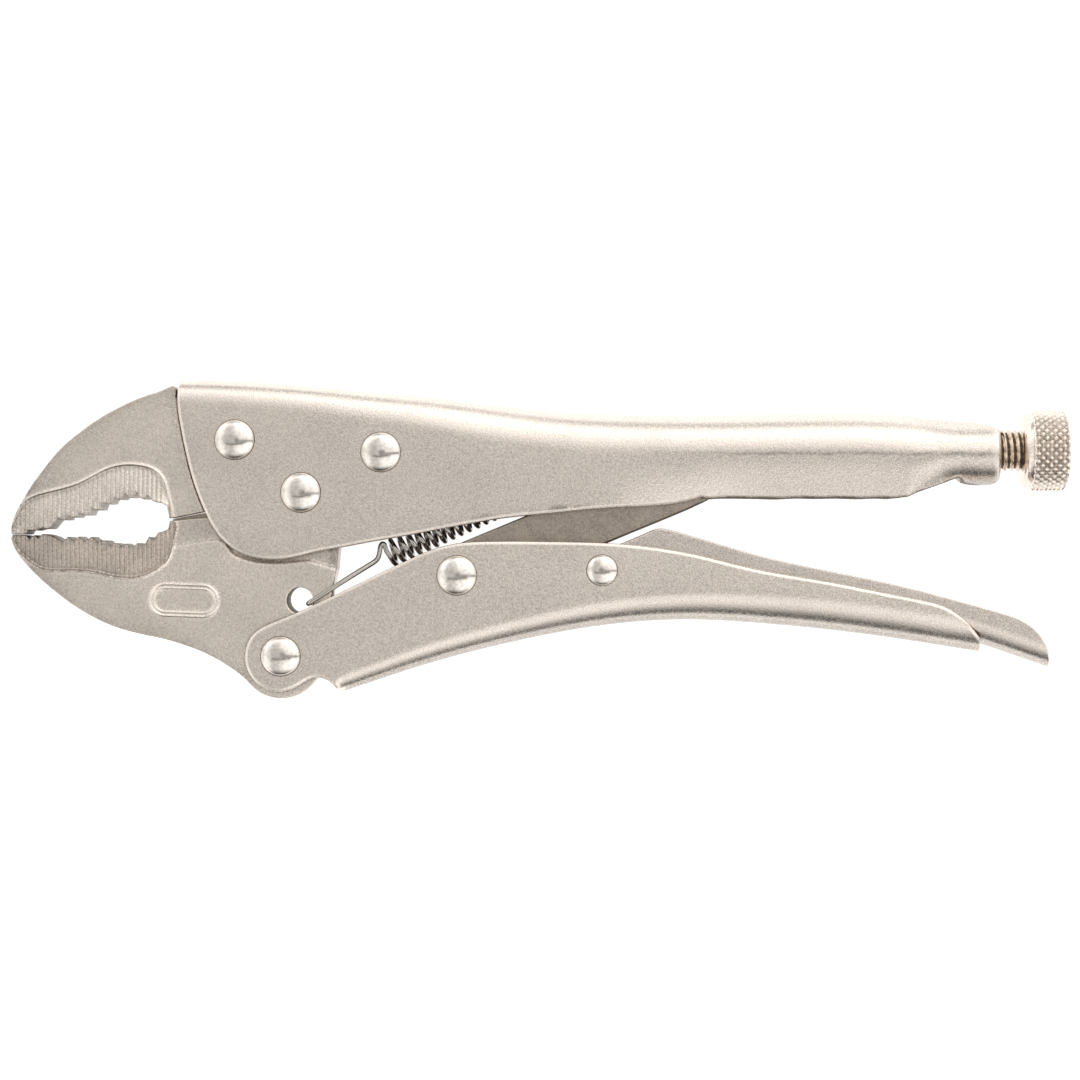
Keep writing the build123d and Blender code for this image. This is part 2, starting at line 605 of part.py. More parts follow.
# --- rivets ------------------------------------------------------------------
def rivet_profile(x, y, half, shank_r, head_r, head_h):
    """Half outline of a two-headed rivet standing along Z at (x, y)."""
    pts = [(0.0, -half - head_h)]
    n = 7
    for i in range(1, n + 1):
        a = math.pi / 2 * i / n
        pts.append((head_r * math.sin(a) ** 0.92, -half - 0.35 - (head_h - 0.35) * math.cos(a)))
    pts += [(head_r, -half), (shank_r, -half), (shank_r, half), (head_r, half)]
    for i in range(n, 0, -1):
        a = math.pi / 2 * i / n
        pts.append((head_r * math.sin(a) ** 0.92, half + 0.35 + (head_h - 0.35) * math.cos(a)))
    pts.append((0.0, half + head_h))
    return clean([(x + px, MID + pz) for px, pz in pts], 0.01)


for rivet_name, centre, half, shank_r, head_r, head_h in [
    ("fixed_jaw_rivet_front", RIV_1, UP_OUT, SHANK_R, HEAD_R, HEAD_H),
    ("fixed_jaw_rivet_rear", RIV_2, UP_OUT, SHANK_R, HEAD_R, HEAD_H),
    ("jaw_pivot_rivet", PIV_A, UP_OUT, SHANK_R, HEAD_R, HEAD_H),
    ("handle_pivot_rivet", PIV_B, LO_OUT, SHANK_R, HEAD_R, HEAD_H),
    ("link_pivot_rivet", PIV_C, LO_OUT, SHANK_R, HEAD_R, HEAD_H),
    ("lever_pivot_rivet", PIV_E, LO_OUT, SMALL_SHANK_R, SMALL_HEAD_R, SMALL_HEAD_H),
]:
    with BuildPart() as rivet:
        with BuildSketch(Plane.XZ.offset(-centre[1])):
            with BuildLine():
                Polyline(*rivet_profile(centre[0], centre[1], half, shank_r, head_r, head_h), close=True)
            make_face()
        revolve(axis=Axis((centre[0], centre[1], 0), (0, 0, 1)))
    rivet.part.label = rivet_name
    export_step(rivet.part, "parts/" + rivet_name + ".step")
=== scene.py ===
import math

import bpy
import numpy as np
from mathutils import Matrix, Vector
from mathutils.geometry import delaunay_2d_cdt


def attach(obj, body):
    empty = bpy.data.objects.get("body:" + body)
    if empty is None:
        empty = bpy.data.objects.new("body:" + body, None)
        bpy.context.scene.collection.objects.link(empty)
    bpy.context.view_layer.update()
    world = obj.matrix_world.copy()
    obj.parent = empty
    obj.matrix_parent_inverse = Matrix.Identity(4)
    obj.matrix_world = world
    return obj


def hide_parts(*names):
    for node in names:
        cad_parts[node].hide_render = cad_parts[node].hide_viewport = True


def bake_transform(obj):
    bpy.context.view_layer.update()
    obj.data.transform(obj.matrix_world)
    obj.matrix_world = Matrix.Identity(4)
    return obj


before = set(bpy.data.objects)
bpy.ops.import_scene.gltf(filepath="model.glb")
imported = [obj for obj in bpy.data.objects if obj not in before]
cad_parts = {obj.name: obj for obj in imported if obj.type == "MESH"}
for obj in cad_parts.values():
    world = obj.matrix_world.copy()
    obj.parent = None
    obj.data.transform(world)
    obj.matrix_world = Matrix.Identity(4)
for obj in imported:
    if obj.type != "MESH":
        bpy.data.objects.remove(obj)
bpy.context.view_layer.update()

MM = 0.001
MID = 10.1                      # mid-plane of the tool above the floor, mm

# ---------------------------------------------------------------------------
# sizes shared with the CAD model (mm, in the tool's mid-plane)
# ---------------------------------------------------------------------------
PIV_A = (-56.37, 10.92)
PIV_B = (-61.06, -27.56)
PIV_C = (-19.67, -8.56)
PIV_D = (51.41, 21.20)
PIV_E = (14.44, -7.36)
RIV_1 = (-71.92, 23.31)
RIV_2 = (-37.57, 20.42)
SPRING_HOLE = (-56.64, -14.50)
SCREW_Y = 20.95
NECK_END = 108.65
KNOB_START = 114.9
KNOB_END = 124.85

UPPER_TOP = [
    (-85.35, 37.57), (-80.65, 37.57), (-71.18, 37.22), (-61.70, 36.69), (-52.23, 35.98),
    (-42.76, 34.98), (-33.28, 34.21), (-23.81, 33.32), (-14.34, 32.19), (-4.87, 30.95),
    (4.61, 30.06), (14.08, 29.59), (23.55, 29.38), (37.76, 29.35), (47.23, 29.50),
    (56.71, 29.68), (66.18, 29.80), (75.65, 29.76), (85.13, 29.42), (89.86, 28.95),
    (94.60, 28.20), (98.15, 27.80), (103.0, 27.72), (106.2, 27.66), (107.5, 27.35), (108.25, 26.7), (NECK_END, 25.7),
]
# free edge of the upper handle: front corner, down the front, along the bottom
UPPER_FRONT = [
    (-85.35, 35.2), (-85.35, 31.25), (-84.53, 25.85), (-83.44, 20.47), (-82.11, 15.06),
    (-80.49, 10.23), (-78.20, 4.90), (-75.45, 0.55), (-72.12, -2.40), (-67.82, -4.34),
    (-62.42, -4.88), (-57.60, -4.25), (-52.72, -3.05), (-47.34, -2.08), (-40.86, -0.84),
    (-30.08, 1.04), (-19.30, 3.09), (-8.52, 4.92), (4.57, 6.20), (11.14, 6.88),
    (17.72, 7.35), (24.30, 7.62), (29.94, 8.02), (34.23, 8.75), (37.50, 9.72),
]
UPPER_BOTTOM = [
    (37.50, 9.72), (39.20, 9.45), (43.32, 9.60), (51.82, 9.50), (56.00, 9.40), (61.27, 9.62),
    (65.0, 9.52), (70.71, 9.60), (75.5, 9.45), (80.16, 9.60), (83.0, 9.48), (84.88, 9.72),
    (86.6, 9.92), (88.0, 10.62), (90.4, 11.50), (93.5, 12.55), (96.5, 13.65), (98.2, 14.28),
    (98.95, 14.40), (99.35, 14.0), (99.8, 13.4), (101.0, 13.0), (103.5, 12.72), (106.0, 12.74),
    (107.3, 13.0), (108.2, 13.7), (NECK_END, 14.8),
]
LOWER_OPEN = [
    (-47.30, -35.90), (-48.14, -34.90), (-49.57, -33.61), (-51.00, -32.80), (-53.00, -32.55),
    (-54.40, -32.95), (-56.68, -34.34), (-58.96, -35.45), (-61.24, -35.98), (-63.6, -35.58),
    (-65.9, -34.48), (-67.8, -32.65), (-69.05, -30.30), (-69.45, -27.60), (-69.05, -25.1),
    (-68.0, -23.0), (-66.35, -21.45), (-64.08, -20.20), (-60.95, -18.92), (-57.83, -17.60),
    (-53.84, -15.80), (-48.14, -13.08), (-42.46, -10.35), (-37.69, -8.00), (-32.4, -5.50),
    (-28.6, -3.75), (-24.66, -2.20), (-21.21, -1.33), (-17.43, -0.78), (-9.36, -0.55),
    (1.42, -0.63), (12.22, -0.84), (20.29, -1.30), (28.37, -2.29), (36.49, -3.75),
    (43.06, -5.36), (49.68, -6.95), (56.28, -8.22), (62.88, -9.30), (69.45, -10.44),
    (76.05, -11.75), (82.62, -13.07), (89.22, -14.41), (92.80, -15.25), (95.90, -16.42),
    (99.10, -18.68), (101.73, -21.31), (103.20, -23.20), (103.60, -24.40),
]
LOWER_SPINE = [
    (-47.30, -36.20), (-42.70, -34.72), (-37.97, -33.10), (-33.24, -31.50), (-23.78, -28.60),
    (-14.32, -26.10), (-4.86, -23.90), (4.60, -21.98), (14.06, -20.45), (23.52, -19.45),
    (32.98, -19.02), (42.44, -19.25), (51.90, -19.92), (61.36, -20.75), (70.81, -21.75),
    (80.27, -22.95), (89.73, -24.37), (99.19, -25.91), (103.65, -26.58),
]
LEVER_OPEN = [
    (12.9, -11.2), (10.9, -9.6), (10.35, -7.4), (11.2, -5.1), (12.9, -3.62), (16.0, -2.35),
    (19.93, -0.78), (23.09, 0.55), (26.06, 1.85), (27.2, 2.32), (28.30, 2.50), (30.70, 2.10),
    (36.61, 0.46), (43.20, -1.50), (49.84, -3.45), (56.46, -5.08), (63.08, -6.51),
    (69.67, -7.83), (76.29, -9.15), (82.88, -10.56), (89.50, -12.12), (96.09, -13.91),
    (102.71, -15.72), (108.2, -17.25), (112.4, -18.65), (115.2, -20.20), (117.40, -22.20),
    (119.10, -25.00), (119.95, -27.6),
]
LEVER_SPINE = [
    (12.9, -12.7), (20.0, -13.3), (30.0, -14.2), (40.0, -15.0), (60.0, -17.0), (80.0, -19.85),
    (95.0, -22.35), (104.0, -24.75), (109.94, -26.75), (116.58, -29.05), (120.15, -30.25),
]
FIXED_OUTER = [
    (-86.0, 36.2), (-89.67, 34.90), (-94.38, 33.33), (-99.10, 31.21), (-103.81, 28.62),
    (-108.52, 25.32), (-113.23, 21.31), (-117.95, 15.54), (-120.30, 12.20), (-122.66, 8.20),
    (-124.07, 5.21), (-124.78, 2.81), (-124.80, 1.45),
]
FIXED_TEETH = [
    (-124.40, 1.08), (-122.40, 1.04), (-121.3, 1.05), (-120.79, 2.05), (-119.00, 1.96), (-117.21, 2.60),
    (-115.78, 2.31), (-114.65, 3.61), (-113.64, 4.88), (-112.65, 4.41), (-111.66, 4.46),
    (-111.31, 5.33), (-110.37, 5.02), (-109.24, 5.02), (-108.51, 6.17), (-107.52, 5.54),
    (-106.37, 5.61), (-105.66, 7.16), (-104.67, 6.74), (-103.66, 6.81), (-103.09, 8.39),
    (-102.11, 8.13), (-101.09, 8.27), (-100.53, 9.66), (-99.40, 9.21), (-98.53, 9.30),
    (-97.82, 10.67), (-96.84, 9.68), (-95.97, 9.73), (-95.12, 10.74), (-94.41, 9.73),
    (-93.40, 9.30), (-92.41, 10.17), (-91.54, 9.02), (-90.41, 8.60), (-89.26, 8.41),
    (-88.01, 7.75), (-87.42, 4.85),
]
LOWER_TEETH = [
    (-124.40, 1.00), (-122.48, 0.93), (-121.07, 0.76), (-120.37, 0.03), (-119.21, 0.90),
    (-118.34, 0.17), (-117.35, 1.15), (-115.78, 0.90), (-114.65, 0.48), (-113.49, -0.25),
    (-112.51, -0.60), (-111.35, 0.48), (-110.08, -0.53), (-108.79, 0.55), (-107.38, -0.58),
    (-105.80, 0.48), (-104.39, -0.81), (-103.52, -0.32), (-102.39, -0.39), (-101.38, -1.52),
    (-100.39, -0.96), (-99.24, -1.24), (-98.67, -1.94), (-97.82, -1.10), (-96.84, -1.78),
    (-95.82, -1.76), (-94.98, -0.96), (-94.11, -1.52), (-93.12, -1.10), (-92.27, 0.48),
    (-90.98, -0.11), (-90.13, 1.47), (-88.98, 1.75), (-87.71, 2.31), (-87.25, 4.25),
]
LOWER_OUTER = [
    (-69.05, -33.57), (-70.6, -32.10), (-72.71, -30.55), (-75.53, -28.76), (-79.07, -26.88),
    (-82.60, -25.46), (-86.14, -24.28), (-89.67, -23.34), (-94.38, -22.35), (-99.10, -21.10),
    (-103.81, -19.22), (-108.52, -16.63), (-113.23, -13.33), (-117.95, -9.32),
    (-120.30, -6.97), (-122.66, -4.26), (-124.07, -2.05), (-124.80, 0.10),
]
BAND_UPPER = [
    (-124.75, 3.0), (-124.10, 5.17), (-123.28, 7.05), (-122.01, 8.58), (-120.15, 9.83),
    (-117.86, 10.68), (-115.01, 11.38), (-112.45, 12.02), (-109.60, 12.89), (-107.31, 13.95),
    (-105.03, 15.17), (-102.75, 16.35), (-100.18, 17.22), (-97.33, 17.60), (-94.46, 17.42),
    (-91.89, 16.82), (-90.20, 15.80), (-88.95, 14.30), (-88.19, 12.16), (-87.72, 10.18),
    (-87.24, 8.36), (-86.95, 6.7), (-86.7, 4.9),
]
BAND_LOWER = [
    (-124.2, -0.9), (-123.28, -2.84), (-120.71, -5.08), (-118.14, -6.84), (-116.20, -7.38),
    (-113.01, -7.48), (-109.60, -7.45), (-106.75, -7.67), (-103.88, -8.15), (-101.03, -8.80),
    (-98.18, -9.17), (-95.33, -9.15), (-93.04, -8.51), (-90.48, -7.24), (-88.48, -5.81),
    (-87.35, -4.19), (-86.80, -2.39), (-86.52, -0.67), (-86.19, 1.33), (-85.79, 2.9), (-86.2, 4.4),
]
STEP_LINE = [
    (-86.31, -1.55), (-82.54, -0.96), (-78.30, -0.37), (-74.60, -0.55), (-72.60, -3.35),
    (-68.05, -5.10), (-62.42, -5.65), (-58.00, -5.35), (-54.60, -5.15), (-51.93, -5.85),
    (-46.00, -7.60),
]


# ---------------------------------------------------------------------------
# small geometry helpers
# ---------------------------------------------------------------------------
def arc(centre, radius, a0, a1, n):
    a = np.radians(np.linspace(a0, a1, n + 1))
    return [(centre[0] + radius * math.cos(t), centre[1] + radius * math.sin(t)) for t in a]


def smooth_curve(points, step, sigma=0.0):
    """Centripetal Catmull-Rom through the points, resampled evenly, then softened."""
    p = np.array(points, float)
    q = np.vstack([2 * p[0] - p[1], p, 2 * p[-1] - p[-2]])
    out = []
    for i in range(1, len(q) - 2):
        p0, p1, p2, p3 = q[i - 1], q[i], q[i + 1], q[i + 2]
        t0 = 0.0
        t1 = t0 + max(np.linalg.norm(p1 - p0), 1e-6) ** 0.5
        t2 = t1 + max(np.linalg.norm(p2 - p1), 1e-6) ** 0.5
        t3 = t2 + max(np.linalg.norm(p3 - p2), 1e-6) ** 0.5
        n = max(4, int(np.linalg.norm(p2 - p1) / step * 4))
        t = np.linspace(t1, t2, n, endpoint=False)[:, None]
        a1 = (t1 - t) / (t1 - t0) * p0 + (t - t0) / (t1 - t0) * p1
        a2 = (t2 - t) / (t2 - t1) * p1 + (t - t1) / (t2 - t1) * p2
        a3 = (t3 - t) / (t3 - t2) * p2 + (t - t2) / (t3 - t2) * p3
        b1 = (t2 - t) / (t2 - t0) * a1 + (t - t0) / (t2 - t0) * a2
        b2 = (t3 - t) / (t3 - t1) * a2 + (t - t1) / (t3 - t1) * a3
        out.append((t2 - t) / (t2 - t1) * b1 + (t - t1) / (t2 - t1) * b2)
    out = np.vstack(out + [p[-1:]])
    out = resample(out, step)
    if sigma > 0:
        k = int(3 * sigma / step)
        w = np.exp(-0.5 * (np.arange(-k, k + 1) * step / sigma) ** 2)
        w /= w.sum()
        # reflect about the end points so that the ends stay where they are
        head = 2 * out[0] - out[1:k + 1][::-1]
        tail = 2 * out[-1] - out[-k - 1:-1][::-1]
        ext = np.vstack([head, out, tail])
        out = np.stack([np.convolve(ext[:, c], w, "valid") for c in (0, 1)], 1)
    return out


def resample(p, step):
    p = np.asarray(p, float)
    d = np.r_[0, np.cumsum(np.linalg.norm(np.diff(p, axis=0), axis=1))]
    n = max(1, int(round(d[-1] / step)))
    s = np.linspace(0, d[-1], n + 1)
    return np.stack([np.interp(s, d, p[:, 0]), np.interp(s, d, p[:, 1])], 1)


def poly_line(points, step):
    """Straight runs between the points, divided to about the step."""
    out = []
    p = np.array(points, float)
    for a, b in zip(p, p[1:]):
        n = max(1, int(round(np.linalg.norm(b - a) / step)))
        for i in range(n):
            out.append(a + (b - a) * i / n)
    out.append(p[-1])
    return np.array(out)


def seg_dist(pts, line):
    """Distance from each point to a polyline."""
    pts = np.asarray(pts, float)
    a, b = line[:-1], line[1:]
    ab = b - a
    l2 = np.maximum((ab ** 2).sum(1), 1e-12)
    out = np.empty(len(pts))
    for i in range(0, len(pts), 2000):
        p = pts[i:i + 2000, None, :]
        t = np.clip(((p - a) * ab).sum(2) / l2, 0, 1)
        q = a + t[..., None] * ab
        out[i:i + 2000] = np.sqrt(((p - q) ** 2).sum(2).min(1))
    return out


def inside(pts, poly):
    """Even-odd test of points in a closed polygon."""
    x, y = np.asarray(pts, float).T
    res = np.zeros(len(x), bool)
    px, py = np.asarray(poly, float).T
    qx, qy = np.roll(px, -1), np.roll(py, -1)
    for x0, y0, x1, y1 in zip(px, py, qx, qy):
        if y0 == y1:
            continue
        c = ((y0 > y) != (y1 > y)) & (x < (x1 - x0) * (y - y0) / (y1 - y0) + x0)
        res ^= c
    return res


def closed(p):
    return np.vstack([p, p[:1]])


def offset_in(line, dist, is_closed=True):
    """Points moved to the left of the direction of travel."""
    if is_closed:
        t = np.roll(line, -1, 0) - np.roll(line, 1, 0)
    else:
        t = np.gradient(line, axis=0)
    n = np.stack([-t[:, 1], t[:, 0]], 1)
    n /= np.maximum(np.linalg.norm(n, axis=1, keepdims=True), 1e-9)
    return line + n * dist


def smoothstep(a, b, x):
    t = np.clip((np.asarray(x, float) - a) / (b - a), 0, 1)
    return t * t * (3 - 2 * t)


def signed_area(p):
    x, y = p.T
    return 0.5 * float(np.sum(x * np.roll(y, -1) - np.roll(x, -1) * y))


def jitter_grid(x0, x1, y0, y1, sx, sy):
    xs = np.arange(x0 + sx / 2, x1, sx)
    ys = np.arange(y0 + sy / 2, y1, sy)
    gx, gy = np.meshgrid(xs, ys)
    gx = gx + (np.arange(len(ys))[:, None] % 2) * sx * 0.5
    return np.stack([gx.ravel(), gy.ravel()], 1)


def triangulate(loops, extra):
    """Delaunay triangles inside the first loop and outside the others.
    Returns points and triangles; the loops' own points come first, in order."""
    verts = [Vector(p) for loop in loops for p in loop]
    edges, at = [], 0
    for loop in loops:
        n = len(loop)
        edges += [(at + i, at + (i + 1) % n) for i in range(n)]
        at += n
    verts += [Vector(p) for p in extra]
    co, _, faces, orig, _, _ = delaunay_2d_cdt(verts, edges, [], 0, 1e-7)
    co = np.array([(v.x, v.y) for v in co])
    tri = np.array([f for f in faces if len(f) == 3], int)
    # put the input points back in their own order
    where = np.full(len(verts), -1, int)
    for i, o in enumerate(orig):
        for k in o:
            where[k] = i
    mid = co[tri].mean(1)
    keep = inside(mid, loops[0])
    for hole in loops[1:]:
        keep &= ~inside(mid, hole)
    tri = tri[keep]
    a, b, c = co[tri[:, 0]], co[tri[:, 1]], co[tri[:, 2]]
    area = (b[:, 0] - a[:, 0]) * (c[:, 1] - a[:, 1]) - (c[:, 0] - a[:, 0]) * (b[:, 1] - a[:, 1])
    tri = tri[np.abs(area) > 1e-9]
    area = area[np.abs(area) > 1e-9]
    tri[area < 0] = tri[area < 0][:, ::-1]
    return co, tri, where[:at]


def new_object(name, verts, faces, mat, smooth=True, sharp=38):
    me = bpy.data.meshes.new(name)
    v = np.asarray(verts, float) * MM
    me.from_pydata([tuple(p) for p in v], [], [tuple(int(i) for i in f) for f in faces])
    me.validate()
    me.update()
    for p in me.polygons:
        p.use_smooth = smooth
    if smooth and sharp:
        me.set_sharp_from_angle(angle=math.radians(sharp))
    ob = bpy.data.objects.new(name, me)
    bpy.context.scene.collection.objects.link(ob)
    me.materials.append(mat)
    return ob


def drop_loose(verts, faces):
    verts = np.asarray(verts, float)
    used = np.zeros(len(verts), bool)
    for f in faces:
        used[list(f)] = True
    index = np.cumsum(used) - 1
    return verts[used], [tuple(index[list(f)]) for f in faces]


def edge_drop(d, e):
    """How far a surface falls away at distance d from an edge rounded to radius e."""
    t = np.clip(e - np.asarray(d, float), 0, e)
    return e - np.sqrt(np.maximum(e * e - t * t, 0))


def ring_points(loop, dists, poly, all_lines, step_keep=1):
    """Rows of points inside a loop, parallel to it."""
    out = []
    sign = 1.0 if signed_area(loop) > 0 else -1.0
    for d in dists:
        r = offset_in(loop, sign * d)[::step_keep]
        ok = inside(r, poly)
        r = r[ok]
        dd = seg_dist(r, all_lines)
        out.append(r[dd > 0.9 * d])
    return np.vstack(out)


def plate(name, loops, z_top, z_bot, mat, grid, e=0.25, dense=(), rows=(), sharp=38):
    """A solid plate: loops[0] is the outline, the rest are holes.  z_top and z_bot give the
    height of each face over the mid-plane; every edge is rounded to radius e."""
    loops = [np.asarray(l, float) for l in loops]
    lines = [closed(l) for l in loops]
    whole = np.vstack([np.vstack([l, [[np.nan, np.nan]]]) for l in lines])[:-1]
    segs = [l for l in lines]

    def dist(p):
        return np.min([seg_dist(p, l) for l in segs], axis=0)

    def within(p):
        k = inside(p, loops[0])
        for h in loops[1:]:
            k &= ~inside(p, h)
        return k

    extra = []
    ring_d = [e * f for f in (0.12, 0.38, 0.75, 1.1)]
    for i, loop in enumerate(loops):
        sign = (1.0 if signed_area(loop) > 0 else -1.0) * (1 if i == 0 else -1)
        for d in ring_d:
            r = offset_in(loop, sign * d)
            r = r[within(r)]
            if len(r):
                extra.append(r[dist(r) > 0.9 * d])
    lo, hi = loops[0].min(0), loops[0].max(0)
    g = jitter_grid(lo[0], hi[0], lo[1], hi[1], grid, grid)
    for poly, sx, sy in dense:
        poly = np.asarray(poly, float)
        g = g[~inside(g, poly)]
        a, b = poly.min(0), poly.max(0)
        xs = np.arange(a[0], b[0], sx)
        ys = np.arange(a[1], b[1], sy)
        gx, gy = np.meshgrid(xs, ys)
        h = np.stack([gx.ravel(), gy.ravel()], 1)
        g = np.vstack([g, h[inside(h, poly)]])
    g = g[within(g)]
    g = g[dist(g) > 1.35 * e]
    for line, offs, is_closed in rows:
        keep = seg_dist(g, closed(line) if is_closed else line) > max(abs(o) for o in offs) + 0.12
        g = g[keep]
    for line, offs, is_closed in rows:
        for o in offs:
            r = offset_in(line, o, is_closed)
            r = r[within(r)]
            extra.append(r[dist(r) > 1.35 * e])
    extra = np.vstack(extra + [g])
    co, tri, where = triangulate(loops, extra)
    d = np.full(len(co), 0.0)
    d = dist(co)
    d[where] = 0
    drop = edge_drop(d, e)
    zt = z_top(co) - drop
    zb = z_bot(co) + drop
    n = len(co)
    verts = np.vstack([np.c_[co, MID + zt], np.c_[co, MID + zb]])
    faces = [tuple(t) for t in tri] + [tuple(t[::-1] + n) for t in tri]
    at = 0
    for i, loop in enumerate(loops):
        m = len(loop)
        ids = where[at:at + m]
        at += m
        ccw = signed_area(loop) > 0
        if i > 0:
            ccw = not ccw
        for k in range(m):
            a, b = ids[k], ids[(k + 1) % m]
            f = (a, a + n, b + n, b) if ccw else (a, b, b + n, a + n)
            faces.append(f)
    verts, faces = drop_loose(verts, faces)
    return new_object(name, verts, faces, mat, sharp=sharp)


def channel(name, open_curve, spine_out, spine_in, z_out, z_in, mat, grid, e=0.32,
            inner_open=None, holes=(), roll=(0.05, 0.2, 0.45, 0.8, 1.3, 1.9, 2.6, 3.4, 4.3, 5.3, 6.4),
            extra_outer=None, extra_inner=None, sharp=38, rim=0.0, rim_w=0.8):
    """A pressed sheet channel.  open_curve runs along its free edges from one end of the
    spine to the other; spine_out and spine_in run back from the last free-edge point to
    the first, without either.  z_out and z_in give the half width of the outer and inner
    faces at a point."""
    oc = np.asarray(open_curve, float)
    ic = oc if inner_open is None else np.asarray(inner_open, float)
    holes = [np.asarray(h, float) for h in holes]
    out = []
    for open_line, spine, zf, kind, extra_pts in (
        (oc, np.asarray(spine_out, float), z_out, "out", extra_outer),
        (ic, np.asarray(spine_in, float), z_in, "in", extra_inner),
    ):
        poly = np.vstack([open_line, spine])
        full_spine = np.vstack([open_line[-1:], spine, open_line[:1]])
        sgn = 1.0 if signed_area(poly) > 0 else -1.0
        open_l = [open_line] + [closed(h) for h in holes]

        def d_open(p):
            return np.min([seg_dist(p, l) for l in open_l], axis=0)

        pts = []
        rim_rows = (rim_w * 0.72 / e, rim_w / e, (rim_w + 0.14) / e) if rim and kind == "out" else ()
        clear = 1.5 * e if not rim_rows else max(1.5 * e, rim_w + 0.3)
        for f in (0.12, 0.38, 0.75, 1.1) + rim_rows:
            dd = f * e
            r = offset_in(open_line, sgn * dd, False)
            r = r[inside(r, poly)]
            pts.append(r[(d_open(r) > 0.9 * dd) & (seg_dist(r, full_spine) > 0.12)])
            for h in holes:
                hs = 1.0 if signed_area(h) > 0 else -1.0
                pts.append(offset_in(h, -hs * dd))
        last = 0.0
        for dd in roll:
            r = offset_in(full_spine, sgn * dd, False)
            r = r[inside(r, poly)]
            if len(r):
                pts.append(r[(seg_dist(r, full_spine) > 0.93 * dd) & (d_open(r) > 0.9 * clear)])
            last = dd
        lo, hi = poly.min(0), poly.max(0)
        g = jitter_grid(lo[0], hi[0], lo[1], hi[1], grid, grid)
        g = g[inside(g, poly)]
        for h in holes:
            g = g[~inside(g, h)]
        g = g[(d_open(g) > clear) & (seg_dist(g, full_spine) > last + 0.45 * grid)]
        pts.append(g)
        if extra_pts is not None:
            x = extra_pts[inside(extra_pts, poly)]
            pts.append(x[(d_open(x) > 0.9 * clear) & (seg_dist(x, full_spine) > last + 0.2)])
        co, tri, where = triangulate([poly] + holes, np.vstack(pts))
        d = d_open(co)
        d[where[:len(open_line)]] = 0
        drop = edge_drop(d, e)
        if kind == "out":
            drop = drop + rim * np.clip(1 - d / rim_w, 0, 1)
        z = zf(co)
        z = np.maximum(z - drop if kind == "out" else z + drop, 0.02)
        out.append((co, tri, where, z, len(poly)))
    (co, tri, wh, z, po), (ci, tii, wi, zi, pi_) = out
    zi = np.where(np.isnan(zi), 0.02, zi)
    n_open = len(oc)
    N, M = len(co), len(ci)
    # the inner face never comes outside the outer one along the free edge
    k = wh[:n_open]
    zi[wi[:n_open]] = np.minimum(zi[wi[:n_open]], np.maximum(z[k] - 0.02, 0.01))
    verts = np.vstack([
        np.c_[co, MID + z], np.c_[co, MID - z], np.c_[ci, MID + zi], np.c_[ci, MID - zi],
    ])
    A, B, C, D = 0, N, 2 * N, 2 * N + M
    faces = [tuple(t) for t in tri] + [tuple(t[::-1] + B) for t in tri]
    faces += [tuple(t[::-1] + C) for t in tii] + [tuple(t + D) for t in tii]
    flip = signed_area(np.vstack([oc, np.asarray(spine_out, float)])) < 0

    def quad(*q):
        faces.append(tuple(q) if not flip else tuple(q[::-1]))

    for i in range(n_open - 1):
        a, b = wh[i], wh[i + 1]
        c, d = wi[i], wi[i + 1]
        quad(A + a, C + c, C + d, A + b)
        quad(B + b, D + d, D + c, B + a)
    ids = [wh[n_open - 1]] + list(wh[n_open:po]) + [wh[0]]
    for a, b in zip(ids, ids[1:]):
        quad(A + a, B + a, B + b, A + b)
    idi = [wi[n_open - 1]] + list(wi[n_open:pi_]) + [wi[0]]
    for a, b in zip(idi, idi[1:]):
        quad(C + b, D + b, D + a, C + a)
    quad(A + wh[n_open - 1], C + wi[n_open - 1], D + wi[n_open - 1], B + wh[n_open - 1])
    quad(A + wh[0], B + wh[0], D + wi[0], C + wi[0])
    at_o, at_i = po, pi_
    for h in holes:
        m = len(h)
        ho, hi_ = wh[at_o:at_o + m], wi[at_i:at_i + m]
        at_o += m
        at_i += m
        ccw = signed_area(h) > 0
        for i in range(m):
            a, b = ho[i], ho[(i + 1) % m]
            c, d = hi_[i], hi_[(i + 1) % m]
            if not ccw:
                a, b, c, d = b, a, d, c
            faces.append((A + b, A + a, C + c, C + d))
            faces.append((B + a, B + b, D + d, D + c))
    verts, faces = drop_loose(verts, faces)
    return new_object(name, verts, faces, mat, sharp=sharp)


def lathe(name, profile, centre, axis, mat, n=96, sharp=38):
    """Turned solid: profile is (distance along the axis, radius), ends on the axis."""
    prof = np.asarray(profile, float)
    axis = np.asarray(axis, float)
    u = np.array([0, 1.0, 0]) if abs(axis[0]) > 0.5 else np.array([1.0, 0, 0])
    w = np.cross(axis, u)
    th = np.linspace(0, 2 * np.pi, n, endpoint=False)
    verts, rows = [], []
    for s, r in prof:
        if r < 1e-6:
            rows.append([len(verts)])
            verts.append(np.array(centre) + axis * s)
        else:
            rows.append(list(range(len(verts), len(verts) + n)))
            for t in th:
                verts.append(np.array(centre) + axis * s + (u * math.cos(t) + w * math.sin(t)) * r)
    faces = []
    for a, b in zip(rows, rows[1:]):
        for i in range(n):
            j = (i + 1) % n
            if len(a) == 1 and len(b) == 1:
                continue
            if len(a) == 1:
                faces.append((a[0], b[j], b[i]))
            elif len(b) == 1:
                faces.append((a[i], a[j], b[0]))
            else:
                faces.append((a[i], a[j], b[j], b[i]))
    return new_object(name, verts, faces, mat, sharp=sharp)


